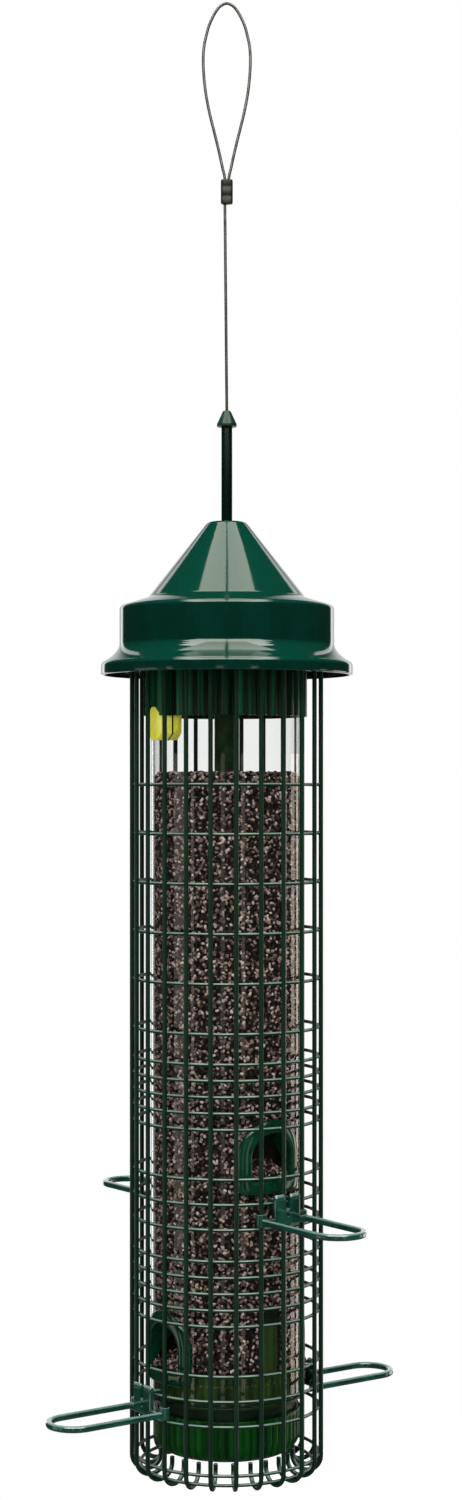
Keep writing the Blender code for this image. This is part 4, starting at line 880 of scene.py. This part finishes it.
def arch(width, sill, crown, corner, steps=(24, 5, 12, 4)):
    """A port's outline as (across, up): a half round of its own width, straight sides, and a flat sill with
    rounded corners. Every arch has the same count of points, each at the same place along it."""
    head, round_, flat, side = steps
    radius = width / 2
    a = np.linspace(0, np.pi, head + 1)
    b = np.linspace(np.pi, np.pi * 1.5, round_ + 1)
    top = polar(radius, a) + (0, crown - radius)
    left = np.linspace((-radius, crown - radius), (-radius, corner - sill), side + 1)[1:-1]
    turn = polar(corner, b) + (corner - radius, corner - sill)
    foot = np.linspace((corner - radius, -sill), (radius - corner, -sill), flat + 1)[1:-1]
    return np.concatenate([top, left, turn, foot, turn[::-1] * (-1, 1), left[::-1] * (-1, 1)])


def neck_prism(gap, low, high):
    """A prism between two depths, of the outline that lies a gap outside a port's neck."""
    wall = NECK_WALL + gap
    return slab(arch(PORT_WIDTH + 2 * wall, PORT_RISE + wall, PORT_RISE + wall, 0.0016), low, high)


def at_port(port, *shapes):
    """Shells of shapes that are made for a port at height 0 facing +X, moved to this port."""
    turn, height = PORTS[port]
    return [shell(turned_about(shape + (0, 0, height), turn)) for shape in shapes]


# A row of faces 1 mm from each end keeps the shading of the long walls flat.
foot_row, top_row = TUBE_FOOT + 0.001, TUBE_TOP - 0.001
tube_line = softened(
    [
        (BORE_R, TUBE_FOOT), (TUBE_R, TUBE_FOOT), (TUBE_R, foot_row), (TUBE_R, top_row),
        (TUBE_R, TUBE_TOP), (BORE_R, TUBE_TOP), (BORE_R, top_row), (BORE_R, foot_row),
    ],
    [0.0003, 0.0003, 0.0001, 0.0001] * 2,
    steps=2,
)

# Polycarbonate, extruded: clear as glass, with long shallow draw lines down its length.
plain = {"IOR": 1.40, "Roughness": 0.0, "Transmission Weight": 1.0, "Base Color": "#fbfcfb"}
clear, shader, add, where = new_material("polycarbonate, extruded clear", plain)
stretched = add("Mapping", {"Vector": where, "Scale": (1.0, 1.0, 0.012)})
draw_lines = add("TexNoise", {"Vector": stretched, "Scale": 210.0, "Detail": 3.0})
waves = add("Bump", {"Height": draw_lines, "Distance": 0.00004, "Strength": 0.05})
connect(shader, {"Normal": waves})
rays = add("LightPath").outputs
lets_light_in = add("BsdfTransparent", {"Color": "#f4f6f5"})
both = add("MixShader", {0: rays["Is Shadow Ray"], 1: shader, 2: lets_light_in})
# Light that the seed scatters leaves the same way as it came, so that the fill isn't lit twice.
both = add("MixShader", {0: rays["Is Diffuse Ray"], 1: both, 2: lets_light_in})
connect(clear.node_tree.nodes["Material Output"], {"Surface": both})

tube = make_piece("clear_tube", [revolved(tube_line, 192)], clear)
hole = neck_prism(FIT, 0.020, 0.045)
holes = [at_port(port, hole)[0] for port in PORTS]
cut(tube, "holes", [*holes, shell(slab(button_fit, -0.045, -0.020) + (0, 0, BUTTON_Z))])
settle(tube, "seed_tube")


# Seed: a loose fill of small sunflower hearts and mixed seed, level at the top round the post. A dark column
# stands for the seeds that nothing sees, and single seeds lie all over it and in a slope behind each port.

SEED_R = 0.0364
SEED_TOP = -0.3848
SEED_FOOT = -0.6765
COLUMN_R = 0.0338
COLUMN_BORE_R = POST_R + 0.0006
COLUMN_BORE_FOOT = -0.4784
HOOD_REACH = 0.0236
POCKET_GAP = 0.0008
TONGUE_TURNS = np.radians([-90, 90])
TONGUE_CLEARANCE = 0.0064
TONGUE_SPACE_TOP = -0.6450
BAND_SEEDS = 8000
TOP_SEEDS = 1800
SLOPE_SEEDS = 600
SLOPE_HALF_WIDTH = 0.0104


def in_pocket(points, margin):
    """Which points lie in the space behind a port: inside its neck's outline and beyond its hood's edge."""
    inside = np.zeros(points.shape[:-1], bool)
    radius = PORT_WIDTH / 2 + NECK_WALL + margin
    head = PORT_RISE + NECK_WALL + margin - radius
    for turn, height in PORTS.values():
        x, y, z = np.moveaxis(turned_about(points, -turn)[0], -1, 0)
        z = z - height
        within = (np.abs(y) < radius) & (z < head) | (y**2 + (z - head) ** 2 < radius**2)
        within &= z > -PORT_RISE - NECK_WALL - margin
        inside |= within & (x > HOOD_REACH - margin)
    return inside


column_line = softened(
    [
        (0, SEED_FOOT + 0.0085), (COLUMN_R, SEED_FOOT + 0.0012), (COLUMN_R, SEED_TOP - 0.0022),
        (COLUMN_BORE_R, SEED_TOP - 0.0022), (COLUMN_BORE_R, COLUMN_BORE_FOOT), (0, COLUMN_BORE_FOOT),
    ],
    [0, 0.001, 0.001, 0.0006, 0.0002, 0],
    closed=False,
)

# Seed husk: dry and matt. The column behind the single seeds is the shade between them.
shade, shader, add, where = new_material("seed husk in shade", {"Roughness": 0.85})
cells = add("TexVoronoi", {"Vector": where, "Scale": 380.0})
murk = add("Mix", {0: cells, 6: "#1c1512", 7: "#0a0706"}, data_type="RGBA")
connect(shader, {"Base Color": murk})
column = make_piece("seed_column", [revolved(column_line, 96, closed=False)], shade)
pocket = neck_prism(POCKET_GAP, HOOD_REACH - 0.0010, 0.045)
cut(column, "pockets", [at_port(port, pocket)[0] for port in PORTS])

# Each seed's shade is its own, kept in an attribute: mostly dark hulls, with brown, tan and pinkish ones.
plain = {"Roughness": 0.75, "Specular IOR Level": 0.18}
husk, shader, add, where = new_material("sunflower and millet seed, dry husk", plain)
own = add("Attribute", attribute_name="seed_shade").outputs["Fac"]
hulls = add("ValToRGB", {"Fac": own})
SEED_SHADES = (
    (0.00, "#0a0606"), (0.26, "#1b1211"), (0.42, "#48352f"), (0.56, "#7e655d"),
    (0.72, "#ab9086"), (0.87, "#d5bab0"), (1.00, "#f4e2d8"),
)
ramp = hulls.color_ramp
for stop, _ in SEED_SHADES[1:-1]:
    ramp.elements.new(stop)
for element, (stop, colour) in zip(ramp.elements, SEED_SHADES):
    element.position = stop
    element.color = linear(colour)
stripes = add("TexNoise", {"Vector": where, "Scale": 1500.0, "Detail": 2.0}).outputs["Color"]
worn = add("Mix", {0: 0.30, 6: hulls, 7: stripes}, data_type="RGBA", blend_type="OVERLAY")
connect(shader, {"Base Color": worn})


rng = np.random.default_rng(7)


def scatter(name, places, normals):
    """Single seeds, each a drop of 15 faces pointed at both ends and laid along the surface: it is turned at
    random about the normal, tipped a little, sized between 0.8 and 1.2 and given a shade of its own."""
    count = len(places)
    along = np.array([-1.0, -0.45, 0.45, 1.0])[:, None]
    girth = np.array([0.0, 0.95, 0.85, 0.0])[:, None]
    sides = even_turns(5)
    drop = places_at(along, girth * np.cos(sides), girth * np.sin(sides))
    size = rng.uniform(0.8, 1.2, (count, 1)) * np.array([0.00108, 0.00074, 0.00060])
    spin = rng.uniform(0, 2 * np.pi, count)
    up = unit(normals + rng.normal(0, 0.28, normals.shape))
    across = unit(np.cross(up, [0.13, 0.09, 1.0]))
    beyond = np.cross(up, across)
    long_way = across * np.cos(spin)[:, None] + beyond * np.sin(spin)[:, None]
    axes = np.stack([long_way, np.cross(up, long_way), up], 1)
    points = np.einsum("rsk,nk,nkx->nrsx", drop, size, axes) + places[:, None, None]
    made = make_piece(name, [shell(points)], husk, sharp=180)
    shades = rng.beta(1.05, 1.45, count)
    # The merged mesh keeps the seeds in order, so each corner's seed follows from its place in the list.
    values = np.repeat(shades, len(made.data.vertices) // count).astype(np.float32)
    made.data.attributes.new("seed_shade", "FLOAT", "POINT").data.foreach_set("value", values)
    return made


def wall_places(low, high, count, radius):
    """Places spread evenly over the inside of the tube: a jittered golden-angle spiral."""
    i = np.arange(count)
    turn = i * 2.399963 + rng.normal(0, 0.02, count)
    height = low + (high - low) * (i + rng.uniform(0, 1, count)) / count
    out = polar(1, turn, 0)
    return out * radius + UP * height[:, None], out


seed_pieces = [column]
seed_levels = np.linspace(SEED_TOP - 0.0010, SEED_FOOT + 0.0008, 5)
seed_bands = ("seeds_at_top", "seeds_above_middle", "seeds_below_middle", "seeds_at_foot")
for name, high, low in zip(seed_bands, seed_levels, seed_levels[1:]):
    places, normals = wall_places(low, high, BAND_SEEDS, SEED_R - 0.0007)
    keep = ~in_pocket(places, POCKET_GAP)
    # No seed lies where a tongue of the base plug stands.
    for turn in TONGUE_TURNS:
        ahead, aside, height = np.moveaxis(turned_about(places, -turn)[0], -1, 0)
        keep &= (np.abs(aside) > TONGUE_CLEARANCE) | (ahead < 0) | (height > TONGUE_SPACE_TOP)
    places, normals = places[keep], normals[keep]
    if name == "seeds_at_top":
        spread = np.sqrt(rng.uniform(0.05, 0.98, TOP_SEEDS)) * 0.0350
        spin = rng.uniform(0, 2 * np.pi, TOP_SEEDS)
        height = SEED_TOP + 0.0002 + rng.normal(0, 0.0004, TOP_SEEDS)
        places = np.concatenate([places, polar(spread, spin, height)])
        normals = np.concatenate([normals, np.broadcast_to(UP, (TOP_SEEDS, 3))])
    seed_pieces.append(scatter(name, places, normals))

# Behind each port the seed lies in a slope, from under the hood's edge down to the sill.
slope_places, slope_normals = [], []
for turn, port_height in PORTS.values():
    share = rng.uniform(0, 1, SLOPE_SEEDS)
    across = rng.uniform(-1, 1, SLOPE_SEEDS) * SLOPE_HALF_WIDTH
    height = -0.0042 - share * 0.0054 + rng.normal(0, 0.0005, SLOPE_SEEDS)
    height = height - (across / SLOPE_HALF_WIDTH) ** 2 * 0.0008 + port_height
    slope_places.append(turned_about(places_at(0.0224 + share * 0.0150, across, height), turn)[0])
    slope_normals.append(turned_about(np.broadcast_to([0.62, 0.0, 0.79], (SLOPE_SEEDS, 3)), turn)[0])
seed_pieces.append(scatter("seeds_at_ports", np.concatenate(slope_places), np.concatenate(slope_normals)))
for piece in seed_pieces:
    settle(piece, "seed_fill")


# Port frames: four moulded arches that fill the tube's holes. Each has a rounded bezel outside, a neck through
# the wall and a hood inside, cut away below, which keeps the seed back and lets it slide down to the sill.

BEZEL_R = 0.0404
BEZEL_WIDTH = 0.0360
BEZEL_RISE = 0.0181
NECK_SHARE = NECK_WALL / (BEZEL_RISE - PORT_RISE)

opening = arch(PORT_WIDTH, PORT_RISE, PORT_RISE, 0.0012)
border = arch(BEZEL_WIDTH, BEZEL_RISE, BEZEL_RISE, 0.0042)
hood_end = np.clip(BORE_R - (opening[:, 1] + 0.0101) * (BORE_R - HOOD_REACH) / 0.0150, HOOD_REACH, BORE_R)
# Each row is a place round the arch. Its profile runs from the hood's edge out through the opening, over the
# crown of the bezel, back under its edge and in along the outside of the neck. Where it has a radius of 0, its
# depth follows from the hood's edge below.
profile = [
    (0, 0), (0, 0), (0, 0), (0, 0.0391), (0.02, 0.0396), (0.07, 0.0400), (0.16, 0.0403), (0.32, BEZEL_R),
    (0.55, BEZEL_R), (0.74, 0.0402), (0.87, 0.0399), (0.95, 0.0395), (0.99, 0.0390), (1.00, 0.0383),
    (NECK_SHARE, 0.0383), (NECK_SHARE, 0), (NECK_SHARE, 0),
]
outwards, radius = np.transpose(profile)
across_up = opening[:, None] + (border - opening)[:, None] * outwards[:, None]
depth = np.sqrt(np.maximum(radius**2 - across_up[..., 0] ** 2, 0))
depth[:, 0] = depth[:, -1] = hood_end
depth[:, 1] = hood_end + 0.0003
depth[:, 2] = (depth[:, 1] + depth[:, 3]) / 2
depth[:, -2] = np.maximum(np.sqrt(BORE_R**2 - across_up[:, -2, 0] ** 2), hood_end + 0.0002)
frame_shape = np.concatenate([depth[..., None], across_up], -1)

# The arches catch the light more than the rest: the same plastic, from a tool with a finer polish.
port_green = moulded(
    "polypropylene, moulded, polished arches", "#032a1b", "#07422b", 0.7, 0.14, 0.04, sheen=0.5
)
for port, (turn, port_height) in PORTS.items():
    shells = [shell(turned_about(frame_shape + (0, 0, port_height), turn), along=True)]
    port_frame = make_piece("arch_" + port, shells, port_green, sharp=50)
    settle(port_frame, "port_frame_" + port)


# Perches: four moulded nylon loops. Two round clips snap on neighbouring wires, and a plate between them hooks
# over a ring with two tabs, so a squirrel's weight on the loop goes straight into the shroud.

RAIL_D = 0.0032
RAIL_HALF_SPAN = 0.012268
RAIL_Z = -0.02945
CLIP_U = 0.045785
CLIP_R = 0.00205
CLIP_Z = -0.02885
LOOP_END = 0.08963
PLATE_IN = 0.0489
PLATE_OUT = 0.0510
PLATE_HALF_WIDTH = 0.0076
PLATE_FOOT = -0.0300
PLATE_TOP = -0.0179
HOOK_TOP = -0.01925
HOOK_IN = 0.0436
HOOK_ASIDE = 0.0050
LIP_ASIDE = 0.00445

bow = np.linspace(np.pi / 2, -np.pi / 2, 25)
side_run = np.linspace(CLIP_U + 0.0018, LOOP_END, 16)[:-1]
rail_path = np.concatenate(
    [
        places_at(side_run, RAIL_HALF_SPAN, RAIL_Z),
        polar(RAIL_HALF_SPAN, bow, RAIL_Z) + (LOOP_END, 0, 0),
        places_at(side_run[::-1], -RAIL_HALF_SPAN, RAIL_Z),
    ]
)
rail = carried(rail_path, stadium(RAIL_D, RAIL_D, 2.6, 20))

# A clip is a C-shaped barrel round a wire: a tall rounded wall carried about the wire, open towards the tube.
clip_path = polar(CLIP_R, np.linspace(-2.55, 2.55, 31), CLIP_Z) + (CLIP_U, 0, 0)
clip = carried(clip_path, stadium(0.00138, 0.0060, 5, 20))

bar_u = 0.04995
bar_path = np.linspace((bar_u, -RAIL_HALF_SPAN, RAIL_Z), (bar_u, RAIL_HALF_SPAN, RAIL_Z), 6)
bar = carried(bar_path, stadium(PLATE_OUT - PLATE_IN, RAIL_D, 4, 20))
plate_line = softened(
    [
        (-PLATE_HALF_WIDTH, PLATE_FOOT), (PLATE_HALF_WIDTH, PLATE_FOOT),
        (PLATE_HALF_WIDTH, PLATE_TOP), (-PLATE_HALF_WIDTH, PLATE_TOP),
    ],
    0.0014,
)
plate = slab(plate_line, PLATE_IN, PLATE_OUT, soft=0.0009, middle=(0.0, -0.0240))
hook_line = softened(
    [(0.0500, HOOK_TOP), (0.0470, HOOK_TOP), (HOOK_IN, HOOK_TOP), (HOOK_IN, -0.0220), (HOOK_IN, -0.02445)],
    0.0011,
    steps=6,
    closed=False,
)
hook_path = np.insert(hook_line[6:-6], 1, 0.0, axis=1)
hook = carried(hook_path, stadium(0.0013, 0.0032, 5, 20), (0.0, 1.0, 0.0))
# Each tab ends in a thick bevelled lip, and between the tabs the plate has a slot, with a small hole below it.
lip_path = np.linspace((0.0500, -0.0029, -0.0184), (0.0500, 0.0029, -0.0184), 4)
lip = carried(lip_path, stadium(0.0030, 0.0036, 1.4, 20))
plate_hole = carried(np.array([(0.047, 0.0, -0.02665), (0.053, 0.0, -0.02665)]), circle(0.0020, 24))
plate_slot = slab(octagon(0.0026, 0.0100, 0.0010) + (0, -0.0195), 0.047, 0.053)
perch_shapes = [rail, clip + (0, RAIL_HALF_SPAN, 0), clip - (0, RAIL_HALF_SPAN, 0), bar]
for shape, aside in ((hook, HOOK_ASIDE), (lip, LIP_ASIDE)):
    perch_shapes += [shape + (0, aside, 0), shape - (0, aside, 0)]

# Nylon, moulded: a blue-green with a wet gloss. Faces that look up are painted pale blue-grey: a painted
# highlight.
painted_rail_highlight = ("#86a5a3", 0.40, 0.85, 0.45)
perch_green = moulded(
    "nylon, moulded glossy blue-green", "#062d24", "#0e4738", 0.8, 0.20, 0.06, coat=1.0, painted_top_light=painted_rail_highlight
)
for port in PORTS:
    perch_plate = make_piece("plate_" + port, at_port(port, plate), perch_green)
    cut(perch_plate, "plate_hole", at_port(port, plate_hole, plate_slot))
    perch_loop = make_piece("loop_" + port, at_port(port, *perch_shapes), perch_green)
    for piece in (perch_plate, perch_loop):
        settle(piece, "perch_" + port, body="shroud")


# Base plug: it closes the foot of the tube. Its cone sends the last seed to the lower ports, its ribbed skirt
# fits the tube, two tongues snap up inside the wall, and a lip and a neck below it carry the cup.

PLUG_R = 0.0363
PLUG_RIM = -0.677086
SKIRT_FOOT = -0.6908
SKIRT_BORE_R = 0.0325
PILLAR_R = 0.0040
PILLAR_FOOT = -0.7184
SCREW_R = 0.0020
SCREW_TOP = -0.7124
LIP_TOP = -0.692386
LIP_FOOT = -0.693786
GROOVE_R = 0.0343
NECK_BORE_R = 0.0322
NECK_FOOT = -0.703786
TONGUE_WIDTH = 0.0094
TONGUE_TOP = -0.6466

skirt_line = softened(
    [
        (0, PLUG_RIM + 0.0085), (0.0335, PLUG_RIM + 0.0006), (PLUG_R - 0.0006, PLUG_RIM + 0.0002),
        (PLUG_R - 0.0006, -0.6820), (PLUG_R, -0.6828), (PLUG_R, SKIRT_FOOT), (SKIRT_BORE_R, SKIRT_FOOT),
        (SKIRT_BORE_R, -0.6790), (PILLAR_R, -0.6706), (PILLAR_R, PILLAR_FOOT), (SCREW_R, PILLAR_FOOT),
        (SCREW_R, SCREW_TOP), (0, SCREW_TOP),
    ],
    [0, 0.0010, 0.0008, 0.0004, 0.0004, 0.0004, 0.0004, 0.001, 0.001, 0.0003, 0.0002, 0, 0],
    steps=3,
    closed=False,
)
skirt = fluted(skirt_line, skirt_line[:, 0] > PLUG_R - 0.0008, 56, 0.0007, 672, closed=False)
neck_line = softened(
    [
        (NECK_BORE_R, NECK_FOOT), (GROOVE_R, NECK_FOOT), (GROOVE_R, LIP_FOOT), (TUBE_R, LIP_FOOT),
        (TUBE_R, LIP_TOP), (PLUG_R, LIP_TOP), (PLUG_R, -0.6906), (NECK_BORE_R, -0.6906),
    ],
    0.0003,
    steps=3,
)


def tongue(low, high, width, outside, thick):
    """Two curved upright strips inside the tube's wall, each with its rows across on the wall's own arc."""
    section = softened([(-thick, low), (0, low), (0, high), (-thick, high)], 0.0004, steps=2)
    aside = np.linspace(-width / 2, width / 2, 9)
    aside = np.concatenate([aside[:1], aside, aside[-1:]])
    rows = np.broadcast_to(section, (11, *section.shape)).copy()
    rows[[0, -1]] = section.mean(0)
    reach = outside + rows[..., 0]
    turn = aside[:, None] / outside
    return turned_about(polar(reach, turn, rows[..., 1]), TONGUE_TURNS)


tongue_feet = tongue(-0.6785, TONGUE_TOP - 0.0055, TONGUE_WIDTH * 0.86, PLUG_R, 0.0016)
tongue_heads = tongue(TONGUE_TOP - 0.0060, TONGUE_TOP, TONGUE_WIDTH, PLUG_R, 0.0024)

# Polypropylene, moulded in a yellower olive, which the light that comes through the tube brings out.
# Painted shade darkens the grooves between its 56 flutes.
olive = moulded(
    "polypropylene, moulded olive green", "#0f2707", "#344f14", 0.05, 0.36, 0.06,
    scale=150.0, flutes=56, groove=0.5,
)
plug = make_piece("base_plug_ribbed", [skirt, shell(tongue_feet)], olive)
# The neck, its lip and the tongues' heads are coloured nearly black: painted shade for the groove under the
# skirt.
neck_green = moulded("polypropylene, moulded, painted shade in its groove", "#020f05", "#08290f", 0.3, 0.34, 0.08)
neck_shells = [revolved(neck_line, 192), shell(tongue_heads)]
neck = make_piece("base_plug_neck", neck_shells, neck_green)
for piece in (plug, neck):
    settle(piece, "base_plug")


# Base cup: a fluted cup with a rounded foot under the plug, moulded in a brighter green and held by one screw
# in its middle. Six holes drain it.

CUP_R = 0.0365
CUP_BORE_R = 0.0347
CUP_TOP = -0.699286
CUP_FOOT = -0.720586
CUP_ROUND = 0.0085
CUP_WALL = 0.0018
DRAIN_D = 0.0040
DRAIN_CIRCLE = 0.0210
DRAIN_TURN = math.radians(25)

cup_bend = np.linspace(0, np.pi / 2, 9)
cos, sin = np.cos(cup_bend), np.sin(cup_bend)
bend_out = places_at(CUP_R - CUP_ROUND * (1 - cos), CUP_FOOT + CUP_ROUND * (1 - sin))
inner_round = CUP_ROUND - CUP_WALL
bend_in = places_at(CUP_R - CUP_ROUND + inner_round * cos, CUP_FOOT + CUP_ROUND - inner_round * sin)
edge_line = [(CUP_BORE_R, CUP_TOP - 0.0010), (CUP_BORE_R, CUP_TOP), (CUP_R, CUP_TOP), (CUP_R, CUP_TOP - 0.0010)]
cup_line = np.concatenate(
    [
        softened(edge_line, [0, 0.0003, 0.0004, 0], closed=False),
        np.linspace((CUP_R, CUP_TOP - 0.0015), (CUP_R, CUP_FOOT + CUP_ROUND + 0.0005), 6),
        bend_out,
        [(SCREW_R, CUP_FOOT), (SCREW_R, CUP_FOOT + CUP_WALL)],
        bend_in[::-1],
    ]
)
flute_share = (cup_line[:, 0] > 0.0349) * smoothstep((CUP_TOP - 0.0012 - cup_line[:, 1]) / 0.0015)
flute_share[-len(bend_in) :] = 0
# Polypropylene, moulded vivid green; painted shade darkens the grooves between its 56 flutes.
cup_green = moulded(
    "polypropylene, moulded vivid green", "#002408", "#064e12", 0.04, 0.26, 0.08,
    scale=110.0, sheen=0.15, flutes=56, groove=0.5,
)
cup = make_piece("fluted_cup", [fluted(cup_line, flute_share, 56, 0.0009, 672)], cup_green)
drain_path = np.array([(DRAIN_CIRCLE, 0, CUP_FOOT - 0.002), (DRAIN_CIRCLE, 0, CUP_FOOT + 0.004)])
drain = carried(drain_path, circle(DRAIN_D, 24), (0.0, 1.0, 0.0))
cut(cup, "drains", [shell(turned_about(drain, even_turns(6) + DRAIN_TURN))])
settle(cup, "base_cup")
